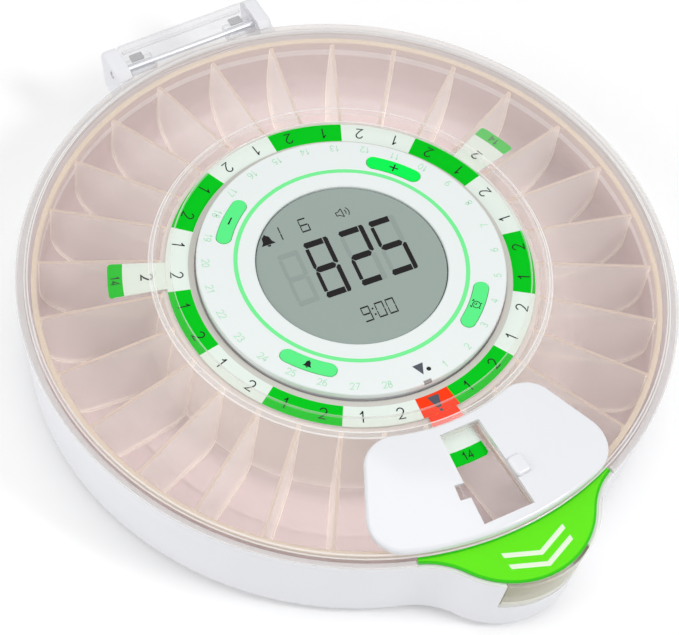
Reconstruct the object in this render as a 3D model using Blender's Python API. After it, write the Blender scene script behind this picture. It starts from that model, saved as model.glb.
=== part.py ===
"""Electronic pill box: a round dispenser whose tray of 29 positions turns under a clear, hinged lid.

Metres, +Z up. The nose points to -Y and the lid's hinge is at +Y. Angles round the box are measured
from -Y, positive towards +X. The pieces are drawn round the tray's turning axis, and at the end the
whole box is moved along Y until the middle of its outline lies over the origin.
"""
import math

import bmesh
import bpy
from mathutils import Matrix, Vector

# Positions round the box
POSITIONS = 29
POSITION_TURN = 2 * math.pi / POSITIONS
START_TURN = math.radians(-2.1)
FACE_TURN = math.radians(-4.6)
ROUND_STEPS = 48
NOSE_SPAN = math.radians(21)
NOSE_STEPS = 18
BACK_STEPS = 50
PIN_STEPS = 16
SCREW_STEPS = 10
BUTTON_COLUMNS = 4
DISC_STEPS = 32

# Clearances
SEAT_GAP = 0.0003
RUN_GAP = 0.0005
OVERRUN = 0.002
SMOOTH_ANGLE = math.radians(32)

# Plan of the lid and base, with the nose at the front
LID_R = 0.1015
NOSE_R = 0.0280
NOSE_SET_IN = 0.0130
BLEND_R = 0.0220

# Base tub
UNDERSIDE_Z = 0.0008
BASE_INSET = 0.0005
BASE_DRAFT = 0.0024
BASE_ROUND = 0.0040
BASE_TOP_Z = 0.0326
BASE_WALL = 0.0020
BASE_FLOOR = 0.0020
TROUGH_ROUND = 0.0035
RUNNER_WIDTH = 0.0020
NOSE_STEP = 0.0011
NOSE_STEP_SPAN = math.radians(19.6)
NOSE_WALL = 0.0020
NOSE_ROOF = 0.0030
NOSE_POCKET_END = 0.0015
NOSE_RIB_SPAN = math.radians(0.6)
NOSE_POCKET_STEPS = 6

# Latch tongue and the notch that it drops into
TONGUE_SPAN = math.radians(6.9)
TONGUE_THICK = 0.0016
TONGUE_LENGTH = 0.0151
NOTCH_ROOM = 0.0015
NOTCH_SIDE = math.radians(0.25)

# Hub tower in the middle of the tub
HUB_ROOM = 0.00347
HUB_WALL = 0.0013
HUB_DRAFT = 0.0012
FACE_RISE = 0.0067
FACE_THICK = 0.0020
FACE_OVERHANG = 0.0006
FACE_ROUND = 0.0006
FACE_RING_WALL = 0.0010
FACE_RING_DEPTH = 0.0025
FACE_STEPS = 60
EDGE_MARK_WIDTH = 0.0026
EDGE_MARK_DEPTH = 0.0010

# Display
DISPLAY_R = 0.02855
DISPLAY_RECESS = 0.0008
LENS_THICK = 0.0012
PANEL_EXTRA_R = 0.0015

# Buttons in the face
BUTTON_SET_IN = 0.0076
BUTTON_WIDTH = 0.0046
BUTTON_SPAN = math.radians(12.7)
BUTTON_CORNER_SHARE = 0.9
BUTTON_PROUD = 0.0002
BUTTON_FLANGE = 0.0008
BUTTON_FLANGE_THICK = 0.0008
BUTTON_FLANGE_SPAN = math.radians(1.2)
BUTTON_TRAVEL = 0.0005
BUTTON_ANGLES = {"Plus": 135, "Minus": -135, "Clock": 45, "Alarm": -45}
SWITCH_SIDE = 0.0060
SWITCH_HEIGHT = 0.0010

# Lamp beside the arrow
LAMP_SET_IN = 0.0041
LAMP_R = 0.0007
LAMP_TURN = math.radians(3.2)
LAMP_LENGTH = 0.0040

# Circuit board and what it carries
BOARD_SIDE_GAP = 0.0020
BOARD_THICK = 0.0016
BOARD_DROP = 0.0051
POST_SET_IN = 0.0084
POST_R = 0.0024
POST_ANGLES = (0, 180, 270)
BUZZER_ORBIT = 0.0280
BUZZER_TURN = math.radians(225)
BUZZER_R = 0.0060
BUZZER_HEIGHT = 0.0060

# Screws
SCREW_R = 0.0011
SCREW_HEAD_R = 0.0021
SCREW_HEAD_HEIGHT = 0.0013
SCREW_CHAMFER = 0.0006
SCREW_LENGTH = 0.0070
BOARD_SCREW_LENGTH = 0.0045

# Cover that closes the hub from below, with its battery bay
COVER_THICK = 0.0032
COVER_SCREW_SET_IN = 0.0037
COVER_SCREW_ANGLES = (66, 114, -66, -114)
HUB_BOSS_R = 0.0040
HUB_BOSS_HEIGHT = 0.0100
CELL_R = 0.00725
CELL_LENGTH = 0.0505
CELL_NIPPLE_R = 0.0027
CELL_NIPPLE = 0.0010
CELL_SIDE_GAP = 0.0004
CELL_LOW_GAP = 0.0004
CELL_COUNT = 4
BAY_WALL = 0.0012
CONTACT_THICK = 0.0005
CONTACT_HEIGHT = 0.0120
DOOR_THICK = 0.0020
DOOR_LEDGE = 0.0012
DOOR_EAR_REACH = 0.0070
DOOR_EAR_WIDTH = 0.0110
DOOR_BOSS_R = 0.0028
DOOR_BOSS_HEIGHT = 0.0080
DOOR_SCREW_IN = 0.0032
DOOR_GRIP_COUNT = 4
DOOR_GRIP_STEP = 0.0030
DOOR_GRIP_DEPTH = 0.0005

# Feet
FOOT_R = 0.0050
FOOT_THICK = 0.0012
FOOT_SET_IN = 0.0195
FOOT_ANGLES = (45, 135, -135, -45)

# Tray with its 29 compartments
TRAY_SET_IN = 0.0047
TRAY_RIM_WIDTH = 0.0018
TRAY_RIM_DROP = 0.0003
TRAY_RIM_HEIGHT = 0.0016
TRAY_WALL = 0.0011
TRAY_FLOOR_RISE = 0.0025
TRAY_SCOOP = 0.0125
TRAY_INNER_ROUND = 0.0055
NEST_SET_OUT = 0.0108
NEST_DRAFT = 0.0018
DECK_RISE = 0.0030
DECK_THICK = 0.0012
DECK_FACE_GAP = 0.0020
DIVIDER_THICK = 0.0010
DIVIDER_DROP = 0.0013
SKIRT_SET_OUT = 0.0015
SKIRT_THICK = 0.0012

# Dosage card that lies on the tray's deck
CARD_EDGE_GAP = 0.0003
CARD_SET_IN = 0.0016
CARD_THICK = 0.0005
CARD_TAB_REACH = 0.0158
CARD_TAB_SPAN = math.radians(4.9)
CARD_TAB_CORNER = 0.0012
CARD_TAB_POSITIONS = (0, 9, -9)

# Drive: the tray's inner teeth and the pinion
RING_TEETH = 58
PINION_TEETH = 8
RING_RUN = 0.0020
TOOTH_RISE = 0.0037
TOOTH_HEIGHT = 0.0070
PINION_HEIGHT = 0.0056
PINION_SLEEVE_R = 0.0021
PINION_SLEEVE = 0.0040
SHAFT_R = 0.0013
SHAFT_IN_MOTOR = 0.0035
MOTOR_R = 0.0098
MOTOR_OFFSET = 0.0078
MOTOR_HEIGHT = 0.0110
PINION_PORT_SPAN = math.radians(12.5)

# Tooth outline as shares of the module and of the tooth pitch
TOOTH_TIP_SHARE = 0.65
TOOTH_ROOT_SHARE = 0.90
TOOTH_THICK_SHARES = (0.27, 0.40, 0.53)

# Lid
FLANGE_THICK = 0.0014
FLANGE_ROUND = 0.0004
LID_THICK = 0.0016
STEP_SET_IN = 0.0027
STEP_WIDTH = 0.0009
STEP_RISE = 0.0009
CONE_SET_OUT = 0.0142
CONE_RISE = 0.0058
COLLAR_RISE = 0.0014
COLLAR_RUN = 0.0013
COLLAR_LAND = 0.0053
TAB_BORDER = 0.0011

# Label under the lid's front tab
LABEL_THICK = 0.0007
LABEL_SET_IN = 0.0032
LABEL_SPAN = math.radians(19.4)
LABEL_STEPS = 24

# Window cover on the lid and its sliding shutter
COVER_SET_OUT = 0.0007
COVER_SET_IN = 0.0029
COVER_SPAN = math.radians(25.7)
COVER_IN_CORNER = 0.0090
COVER_OUT_CORNER = 0.0115
COVER_PLATE = 0.0022
COVER_EDGE = 0.0007
COVER_COLUMNS = 14
CORNER_COLUMNS = 5
WINDOW_SET_OUT = 0.0036
WINDOW_IN_HALF = 0.00655
WINDOW_OUT_HALF = 0.0084
LID_WINDOW_SLOP = 0.0004
SHUTTER_LAP = 0.0014
SHUTTER_SPAN = math.radians(6.9)
SHUTTER_THICK = 0.0008
SHUTTER_TURN = math.radians(13.4)
SHUTTER_SIDE = math.radians(0.35)
SHUTTER_COLUMNS = 6
KNOB_PLACE_SHARE = 0.6443
KNOB_LENGTH = 0.0056
KNOB_SPAN = math.radians(0.95)
KNOB_RISE = 0.0014
KNOB_ROOM = 0.0007
KNOB_LEAN_SHARE = 0.95

# Hinge
HINGE_SET_OUT = 0.0025
HINGE_DROP = 0.0010
ROD_R = 0.0010
ROD_BORE = 0.0003
EAR_IN_X = 0.0235
EAR_WIDTH = 0.0050
EAR_BACK_REACH = 0.0090
EAR_RISE = 0.0022
EAR_DEPTH = 0.0126
EAR_FRONT_REACH = 0.0078
EAR_LEAN = 0.0007
EAR_STEP_REACH = 0.0047
EAR_ROUND = 0.0030
LEAF_THICK = 0.0015
LEAF_BACK = 0.0008
LEAF_FRONT_REACH = 0.0075
KNUCKLE_R = 0.0027
KNUCKLE_WIDTH = 0.0100
LEAF_RIB = 0.0010

# Edges that count as a plate's upper rim
FACES_UP_SHARE = 0.8
FACES_OUT_SHARE = 0.5

# Battery bay, and the hub that is sized to hold it
FLOOR_Z = UNDERSIDE_Z + BASE_FLOOR
COVER_TOP_Z = UNDERSIDE_Z + COVER_THICK
DOOR_LEDGE_Z = UNDERSIDE_Z + DOOR_THICK + SEAT_GAP
CELL_PITCH = 2 * CELL_R + CELL_SIDE_GAP
CELL_Z = DOOR_LEDGE_Z + CELL_LOW_GAP + CELL_R
BAY_TOP_Z = CELL_Z + CELL_R + SEAT_GAP
SHELF_Z = BAY_TOP_Z + BAY_WALL
BAY_HALF_X = (CELL_LENGTH + CELL_NIPPLE) / 2 + CONTACT_THICK + 2 * SEAT_GAP
BAY_HALF_Y = CELL_COUNT * CELL_PITCH / 2 + SEAT_GAP
HUB_BORE_R = math.hypot(BAY_HALF_X + BAY_WALL, BAY_HALF_Y + BAY_WALL) + HUB_ROOM
HUB_WALL_R = HUB_BORE_R + HUB_WALL
HUB_FOOT_R = HUB_WALL_R + HUB_DRAFT
FACE_R = HUB_WALL_R + FACE_OVERHANG
COVER_SCREW_ORBIT = HUB_BORE_R - COVER_SCREW_SET_IN

# Face, board and what sits in them
FACE_TOP_Z = BASE_TOP_Z + FACE_RISE
FACE_LOW_Z = FACE_TOP_Z - FACE_THICK
HUB_WALL_TOP_Z = FACE_LOW_Z - SEAT_GAP
BUTTON_ORBIT = FACE_R - BUTTON_SET_IN
LAMP_ORBIT = FACE_R - LAMP_SET_IN
BOARD_R = HUB_BORE_R - BOARD_SIDE_GAP
BOARD_TOP_Z = FACE_TOP_Z - BOARD_DROP
BOARD_LOW_Z = BOARD_TOP_Z - BOARD_THICK
POST_ORBIT = FACE_R - POST_SET_IN

# Nose, tongue and feet
NOSE_CENTRE = LID_R - NOSE_SET_IN
NOSE_TOP_Z = BASE_TOP_Z - NOSE_STEP
TONGUE_LOW_Z = BASE_TOP_Z - TONGUE_LENGTH
NOTCH_LOW_Z = TONGUE_LOW_Z - NOTCH_ROOM
FOOT_ORBIT = LID_R - FOOT_SET_IN

# Drive
RING_PITCH_R = HUB_FOOT_R + RING_RUN
TOOTH_LOW_Z = FLOOR_Z + TOOTH_RISE
MODULE = 2 * RING_PITCH_R / RING_TEETH
PINION_R = RING_PITCH_R * PINION_TEETH / RING_TEETH
PINION_X = RING_PITCH_R - PINION_R
MOTOR_X = PINION_X - MOTOR_OFFSET
PINION_TURN = math.pi / 2

# Tray and card
TRAY_RIM_R = LID_R - TRAY_SET_IN
TRAY_IN_R = TRAY_RIM_R - TRAY_RIM_WIDTH
TRAY_RIM_TOP_Z = BASE_TOP_Z - TRAY_RIM_DROP
TRAY_FLOOR_Z = FLOOR_Z + TRAY_FLOOR_RISE
NEST_TOP_R = FACE_R + NEST_SET_OUT
NEST_LOW_R = NEST_TOP_R + NEST_DRAFT
SCOOP_R = min(TRAY_SCOOP, (TRAY_IN_R - NEST_LOW_R) / 2)
DECK_Z = BASE_TOP_Z + DECK_RISE
DECK_IN_R = FACE_R + DECK_FACE_GAP
SKIRT_IN_R = RING_PITCH_R + SKIRT_SET_OUT
DIVIDER_OUT_Z = BASE_TOP_Z - DIVIDER_DROP
DIVIDER_SLOPE = (DECK_Z - DIVIDER_OUT_Z) / (TRAY_IN_R - NEST_TOP_R)
RUNNER_R = (NEST_LOW_R + TRAY_INNER_ROUND + TRAY_IN_R - SCOOP_R) / 2
RUNNER_Z = TRAY_FLOOR_Z - TRAY_WALL - SEAT_GAP
CARD_IN_R = DECK_IN_R + CARD_EDGE_GAP
CARD_OUT_R = NEST_TOP_R - CARD_SET_IN
CARD_TAB_R = NEST_TOP_R + CARD_TAB_REACH
CARD_LOW_Z = DECK_Z + SEAT_GAP

# Lid, window and shutter
FLANGE_Z = BASE_TOP_Z + SEAT_GAP
FLANGE_TOP_Z = FLANGE_Z + FLANGE_THICK
STEP_FOOT_R = LID_R - STEP_SET_IN
STEP_TOP_R = STEP_FOOT_R - STEP_WIDTH
STEP_TOP_Z = FLANGE_TOP_Z + STEP_RISE
CONE_IN_R = FACE_R + CONE_SET_OUT
CONE_IN_Z = BASE_TOP_Z + CONE_RISE
CONE_SLOPE = (CONE_IN_Z - STEP_TOP_Z) / (STEP_TOP_R - CONE_IN_R)
COLLAR_TOP_Z = CONE_IN_Z + COLLAR_RISE
COLLAR_TOP_R = CONE_IN_R - COLLAR_RUN
LID_HOLE_R = COLLAR_TOP_R - COLLAR_LAND
LABEL_IN_R = LID_R - LABEL_SET_IN
COVER_IN_R = CONE_IN_R + COVER_SET_OUT
COVER_OUT_R = LID_R - COVER_SET_IN
WINDOW_IN_R = CONE_IN_R + WINDOW_SET_OUT
WINDOW_OUT_R = TRAY_IN_R
SHUTTER_IN_R = WINDOW_IN_R - SHUTTER_LAP
SHUTTER_OUT_R = WINDOW_OUT_R + SHUTTER_LAP
KNOB_R = WINDOW_IN_R + KNOB_PLACE_SHARE * (WINDOW_OUT_R - WINDOW_IN_R)
KNOB_IN_R = KNOB_R - KNOB_LENGTH / 2
KNOB_OUT_R = KNOB_R + KNOB_LENGTH / 2

# Hinge
HINGE_Y = LID_R + HINGE_SET_OUT
HINGE_Z = BASE_TOP_Z - HINGE_DROP
EAR_BACK_Y = HINGE_Y + EAR_BACK_REACH

# Place of the tray's turning axis, with the middle of the whole outline over the origin
HUB_Y = (NOSE_CENTRE + NOSE_R - EAR_BACK_Y) / 2
EAR_FRONT_Y = HINGE_Y - EAR_FRONT_REACH
EAR_STEP_Y = HINGE_Y - EAR_STEP_REACH
EAR_TOP_Z = BASE_TOP_Z + EAR_RISE
EAR_LOW_Z = BASE_TOP_Z - EAR_DEPTH
LEAF_FRONT_Y = HINGE_Y - LEAF_FRONT_REACH
LEAF_TOP_Z = FLANGE_TOP_Z


def clear_scene():
    for item in list(bpy.data.objects):
        bpy.data.objects.remove(item, do_unlink=True)


# Materials

def material(name, colour, roughness, metallic=0.0, alpha=1.0):
    made = bpy.data.materials.new(name)
    made.use_nodes = True
    shader = made.node_tree.nodes["Principled BSDF"]
    shader.inputs["Base Color"].default_value = (*colour, 1.0)
    shader.inputs["Roughness"].default_value = roughness
    shader.inputs["Metallic"].default_value = metallic
    shader.inputs["Alpha"].default_value = alpha
    made.diffuse_color = (*colour, alpha)
    return made


WHITE = ((0.86, 0.87, 0.88), 0.35)
CLEAR = ((0.86, 0.78, 0.75), 0.08)
PALE = ((0.88, 0.76, 0.72), 0.12)
STEEL = ((0.62, 0.63, 0.65), 0.25, 1.0)
GREEN = ((0.30, 0.95, 0.45), 0.45)


# Points and solids

def spot(angle, radius, z=0.0):
    return Vector((radius * math.sin(angle), -radius * math.cos(angle), z))


def spread(first, last, count):
    return [first + (last - first) * i / count for i in range(count + 1)]


def finish(name, mesh_data, look, pivot=(0.0, 0.0, 0.0)):
    bmesh.ops.recalc_face_normals(mesh_data, faces=mesh_data.faces)
    bmesh.ops.translate(mesh_data, verts=mesh_data.verts, vec=-Vector(pivot))
    mesh = bpy.data.meshes.new(name)
    mesh_data.to_mesh(mesh)
    mesh_data.free()
    made = bpy.data.objects.new(name, mesh)
    made.location = pivot
    bpy.context.collection.objects.link(made)
    mesh.materials.append(material(name, *look))
    smooth(mesh)
    return made


def smooth(mesh):
    mesh.shade_smooth()
    mesh.set_sharp_from_angle(angle=SMOOTH_ANGLE)


def loop_solid(loops, closed):
    """A solid from matching loops of points: joined end to end, or closed by a face at each end."""
    shape = bmesh.new()
    rows = [[shape.verts.new(point) for point in loop] for loop in loops]
    pairs = list(zip(rows, rows[1:]))
    if closed:
        pairs.append((rows[-1], rows[0]))
    else:
        shape.faces.new(rows[0])
        shape.faces.new(list(reversed(rows[-1])))
    for low, high in pairs:
        for i in range(len(low)):
            j = (i + 1) % len(low)
            shape.faces.new((low[i], high[i], high[j], low[j]))
    return shape


def prism(points, low, high):
    """An outline in plan, given height."""
    return loop_solid([[Vector((x, y, z)) for x, y in points] for z in (low, high)], False)


def box(low, high):
    corners = ((low[0], low[1]), (high[0], low[1]), (high[0], high[1]), (low[0], high[1]))
    return prism(corners, low[2], high[2])


def rod(radius, low, high, steps=PIN_STEPS, centre=(0.0, 0.0)):
    turns = [2 * math.pi * i / steps for i in range(steps)]
    ring = [(centre[0] + radius * math.cos(t), centre[1] + radius * math.sin(t)) for t in turns]
    return prism(ring, low, high)


def stepped_rod(sections, steps, centre=(0.0, 0.0)):
    """A round pin of several radii: each section is a radius and the height that it ends at."""
    loops = []
    for radius, z in sections:
        turns = [2 * math.pi * i / steps for i in range(steps)]
        loops.append([Vector((centre[0] + radius * math.cos(t), centre[1] + radius * math.sin(t), z))
                      for t in turns])
    return loop_solid(loops, False)


def turned(profile, steps=ROUND_STEPS):
    """A ring turned from a closed profile of radius and height."""
    shape = bmesh.new()
    points = [shape.verts.new((radius, 0.0, z)) for radius, z in profile]
    edges = [shape.edges.new((points[i - 1], points[i])) for i in range(len(points))]
    bmesh.ops.spin(shape, geom=points + edges, cent=(0, 0, 0), axis=(0, 0, 1), angle=2 * math.pi,
                   steps=steps, use_merge=True)
    return shape


def swept(angles, section):
    """A solid along an arc round the box, from the section that belongs to each angle."""
    return loop_solid([[spot(a, r, z) for r, z in section(a)] for a in angles], False)


def lying_rod(radius, x_low, x_high, y, z, steps=PIN_STEPS):
    turns = [2 * math.pi * i / steps for i in range(steps)]
    return loop_solid([[Vector((x, y + radius * math.cos(t), z + radius * math.sin(t))) for t in turns]
                       for x in (x_low, x_high)], False)


def side_prism(points, x_low, x_high):
    """An outline in the plane of Y and Z, given width along X."""
    return loop_solid([[Vector((x, y, z)) for y, z in points] for x in (x_low, x_high)], False)


def merged(first, second):
    """Both solids' meshes in one, for pieces that do not touch each other."""
    spare = bpy.data.meshes.new("spare")
    second.to_mesh(spare)
    second.free()
    first.from_mesh(spare)
    bpy.data.meshes.remove(spare)
    return first


def boolean(target, tool_mesh, operation):
    """Joins or cuts a tool solid on an object, and keeps the result as the object's own mesh."""
    tool = finish("tool", tool_mesh, WHITE)
    step = target.modifiers.new("step", "BOOLEAN")
    step.operation = operation
    step.solver = "EXACT"
    step.object = tool
    bpy.context.view_layer.update()
    result = bpy.data.meshes.new_from_object(target.evaluated_get(bpy.context.evaluated_depsgraph_get()))
    old = target.data
    target.modifiers.clear()
    target.data = result
    bpy.data.meshes.remove(old)
    used = tool.data
    bpy.data.objects.remove(tool, do_unlink=True)
    bpy.data.meshes.remove(used)
    result.name = target.name
    smooth(result)


def cut(target, tool_mesh):
    boolean(target, tool_mesh, "DIFFERENCE")


def join(target, tool_mesh):
    boolean(target, tool_mesh, "UNION")


# Plan outline with the nose

def blend_centre():
    """Centre of the hollow curve that joins the round body to the nose, as angle and distance."""
    reach = LID_R + BLEND_R
    along = (reach ** 2 - (NOSE_R + BLEND_R) ** 2 + NOSE_CENTRE ** 2) / (2 * NOSE_CENTRE)
    return math.acos(along / reach), reach


def blend_start(inset):
    """Angle at which the nose's own curve meets the hollow curve."""
    turn, reach = blend_centre()
    centre = spot(turn, reach)
    nose = spot(0.0, NOSE_CENTRE)
    touch = nose + (centre - nose).normalized() * (NOSE_R - inset)
    return math.atan2(touch.x, -touch.y)


def nose_turn(radius, inset):
    """Angle at which the nose's curve, drawn in by an inset, reaches a radius."""
    curve_r = NOSE_R - inset
    return math.acos((radius ** 2 + NOSE_CENTRE ** 2 - curve_r ** 2) / (2 * radius * NOSE_CENTRE))


def outline_r(angle, inset):
    """Radius of the body's outline at an angle, drawn in by an inset."""
    turn, reach = blend_centre()
    off = abs(math.remainder(angle, 2 * math.pi))
    if off >= turn:
        return LID_R - inset
    if off <= blend_start(inset):
        across = NOSE_CENTRE * math.sin(off)
        return NOSE_CENTRE * math.cos(off) + math.sqrt((NOSE_R - inset) ** 2 - across ** 2)
    across = reach * math.sin(turn - off)
    return reach * math.cos(turn - off) - math.sqrt((BLEND_R + inset) ** 2 - across ** 2)


def body_angles():
    front = spread(-NOSE_SPAN, NOSE_SPAN, NOSE_STEPS)
    back = spread(NOSE_SPAN, 2 * math.pi - NOSE_SPAN, BACK_STEPS)
    return front + back[1:-1]


def outline_ring(inset, z):
    return [spot(a, outline_r(a, inset), z) for a in body_angles()]


def circle_ring(radius, z):
    return [spot(a, radius, z) for a in body_angles()]


def nose_strip(half_span, outer_low, outer_high, thick, low, high, steps=LABEL_STEPS // 2):
    """A wall that follows the nose's outline between two heights, with the draft of its insets."""
    def section(angle):
        top = outline_r(angle, outer_high)
        bottom = outline_r(angle, outer_low)
        return ((bottom - thick, low), (bottom, low), (top, high), (top - thick, high))
    return swept(spread(-half_span, half_span, steps), section)


def base_inset(z):
    """How far the base's wall is drawn in from the lid's edge at a height."""
    return BASE_INSET + BASE_DRAFT * (BASE_TOP_Z - z) / (BASE_TOP_Z - UNDERSIDE_Z - BASE_ROUND)


# Rounded sectors

def corner_inset(distance, corner):
    """How far a rounded corner draws an edge in, at a distance from the side along that edge."""
    if distance >= corner:
        return 0.0
    return corner - math.sqrt(max(corner ** 2 - (corner - distance) ** 2, 0.0))


def sector_angles(span, radius, corner, columns):
    """Angles across a rounded sector, closer together within its corners."""
    turn = corner / radius
    ends = [span - turn * (1 - math.cos(math.pi / 2 * i / CORNER_COLUMNS)) for i in range(CORNER_COLUMNS)]
    middle = spread(-(span - turn), span - turn, columns)
    return [-e for e in ends] + middle + list(reversed(ends))


def sector(turn, span, radii, corners, columns, heights):
    """A rounded sector plate round the axis; heights gives its lower and upper z at a radius."""
    limit = (radii[1] - radii[0]) / 2
    near, far = (min(corner, limit) for corner in corners)

    def section(angle):
        side = span - abs(angle - turn)
        inner = radii[0] + corner_inset(side * radii[0], near)
        outer = radii[1] - corner_inset(side * radii[1], far)
        return ((inner, heights(inner)[0]), (outer, heights(outer)[0]),
                (outer, heights(outer)[1]), (inner, heights(inner)[1]))

    offsets = sector_angles(span, radii[0], min(max(near, far), span * radii[0] - SEAT_GAP / 3), columns)
    return swept([turn + a for a in offsets], section)


def flat(low, high):
    return lambda radius: (low, high)


def cone_z(radius):
    """Height of the lid's sloping top at a radius."""
    return CONE_IN_Z - CONE_SLOPE * (radius - CONE_IN_R)


def on_cone(low, high):
    return lambda radius: (cone_z(radius) + low, cone_z(radius) + high)


# Base tub, hub tower and nose

def base_shell():
    rings = [circle_ring(HUB_BORE_R, UNDERSIDE_Z)]
    low_inset = BASE_INSET + BASE_DRAFT
    for turn in spread(0.0, math.pi / 2, 2):
        inset = low_inset + BASE_ROUND * (1 - math.sin(turn))
        rings.append(outline_ring(inset, UNDERSIDE_Z + BASE_ROUND * (1 - math.cos(turn))))
    rings.append(outline_ring(BASE_INSET, BASE_TOP_Z - FLANGE_ROUND))
    rings.append(outline_ring(BASE_INSET + FLANGE_ROUND, BASE_TOP_Z))
    rings.append(circle_ring(LID_R - BASE_INSET - BASE_WALL, BASE_TOP_Z))
    foot_r = LID_R - low_inset - BASE_WALL
    for turn in spread(0.0, math.pi / 2, 1):
        rings.append(circle_ring(foot_r - TROUGH_ROUND * (1 - math.cos(turn)),
                                 FLOOR_Z + TROUGH_ROUND * (1 - math.sin(turn))))
    for radius, z in ((RUNNER_R + RUNNER_WIDTH / 2, FLOOR_Z), (RUNNER_R + RUNNER_WIDTH / 2, RUNNER_Z),
                      (RUNNER_R - RUNNER_WIDTH / 2, RUNNER_Z), (RUNNER_R - RUNNER_WIDTH / 2, FLOOR_Z),
                      (HUB_FOOT_R, FLOOR_Z), (HUB_WALL_R, HUB_WALL_TOP_Z),
                      (HUB_BORE_R, HUB_WALL_TOP_Z)):
        rings.append(circle_ring(radius, z))
    shell = finish("Base_Shell", loop_solid(rings, True), WHITE)
    cut_nose(shell)
    add_hub_bosses(shell)
    add_hinge_ears(shell)
    cut_pinion_port(shell)
    for angle in FOOT_ANGLES:
        place = spot(math.radians(angle), FOOT_ORBIT)
        cut(shell, rod(FOOT_R + SEAT_GAP, -OVERRUN, FOOT_THICK + SEAT_GAP, PIN_STEPS, place.xy))
    return shell


def cut_nose(shell):
    """Lowers the nose's top for the label, cores it from below on both sides of a rib, and cuts the notch."""
    reach = LID_R - BASE_INSET - BASE_WALL - OVERRUN
    step = swept(spread(-NOSE_STEP_SPAN, NOSE_STEP_SPAN, LABEL_STEPS),
                 lambda a: ((reach, NOSE_TOP_Z), (outline_r(a, -OVERRUN), NOSE_TOP_Z),
                            (outline_r(a, -OVERRUN), FLANGE_Z + OVERRUN), (reach, FLANGE_Z + OVERRUN)))
    cut(shell, step)
    roof = NOSE_TOP_Z - NOSE_ROOF
    wall = NOSE_WALL + TONGUE_THICK + 2 * RUN_GAP
    pocket_span = nose_turn(LID_R + NOSE_POCKET_END, base_inset(UNDERSIDE_Z) + wall)
    for side in (-1, 1):
        ends = sorted((side * NOSE_RIB_SPAN, side * pocket_span))
        cut(shell, swept(spread(ends[0], ends[1], NOSE_POCKET_STEPS),
                         lambda a: ((LID_R, -OVERRUN),
                                    (outline_r(a, base_inset(UNDERSIDE_Z) + wall), -OVERRUN),
                                    (outline_r(a, base_inset(roof) + wall), roof), (LID_R, roof))))
    span = TONGUE_SPAN + NOTCH_SIDE
    notch = nose_strip(span, base_inset(NOTCH_LOW_Z) - OVERRUN, base_inset(BASE_TOP_Z) - OVERRUN,
                       OVERRUN + TONGUE_THICK + 2 * RUN_GAP, NOTCH_LOW_Z, BASE_TOP_Z + OVERRUN)
    cut(shell, notch)


def add_hub_bosses(shell):
    low = COVER_TOP_Z + SEAT_GAP
    for angle in COVER_SCREW_ANGLES:
        place = spot(math.radians(angle), COVER_SCREW_ORBIT).xy
        join(shell, rod(HUB_BOSS_R, low, low + HUB_BOSS_HEIGHT, PIN_STEPS, place))
        cut(shell, rod(SCREW_R + SEAT_GAP, low - OVERRUN, UNDERSIDE_Z + SCREW_LENGTH + RUN_GAP,
                       SCREW_STEPS, place))


def add_hinge_ears(shell):
    """Two ears behind the rim that hold the hinge rod."""
    for side in (-1, 1):
        near = side * EAR_IN_X
        far = side * (EAR_IN_X + EAR_WIDTH)
        outline = [(EAR_FRONT_Y - EAR_LEAN, EAR_LOW_Z), (EAR_BACK_Y - EAR_ROUND, EAR_LOW_Z + EAR_ROUND)]
        for turn in spread(0.0, math.pi / 2, 4):
            outline.append((EAR_BACK_Y - EAR_ROUND + EAR_ROUND * math.cos(turn),
                            EAR_TOP_Z - EAR_ROUND + EAR_ROUND * math.sin(turn)))
        outline.append((HINGE_Y - KNUCKLE_R, EAR_TOP_Z))
        outline.append((EAR_STEP_Y, BASE_TOP_Z + SEAT_GAP))
        outline.append((EAR_STEP_Y, BASE_TOP_Z - FLANGE_ROUND))
        outline.append((EAR_FRONT_Y, BASE_TOP_Z - FLANGE_ROUND))
        join(shell, side_prism(outline, min(near, far), max(near, far)))
        reach = (near - side * OVERRUN, far + side * OVERRUN)
        cut(shell, lying_rod(ROD_R + ROD_BORE, min(reach), max(reach), HINGE_Y, HINGE_Z))


def cut_pinion_port(shell):
    port = swept(spread(PINION_TURN - PINION_PORT_SPAN, PINION_TURN + PINION_PORT_SPAN, 4),
                 lambda a: ((HUB_BORE_R - OVERRUN, TOOTH_LOW_Z - RUN_GAP),
                            (HUB_FOOT_R + OVERRUN, TOOTH_LOW_Z - RUN_GAP),
                            (HUB_FOOT_R + OVERRUN, TOOTH_LOW_Z + TOOTH_HEIGHT + RUN_GAP),
                            (HUB_BORE_R - OVERRUN, TOOTH_LOW_Z + TOOTH_HEIGHT + RUN_GAP)))
    cut(shell, port)


# Face, display and buttons

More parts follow.
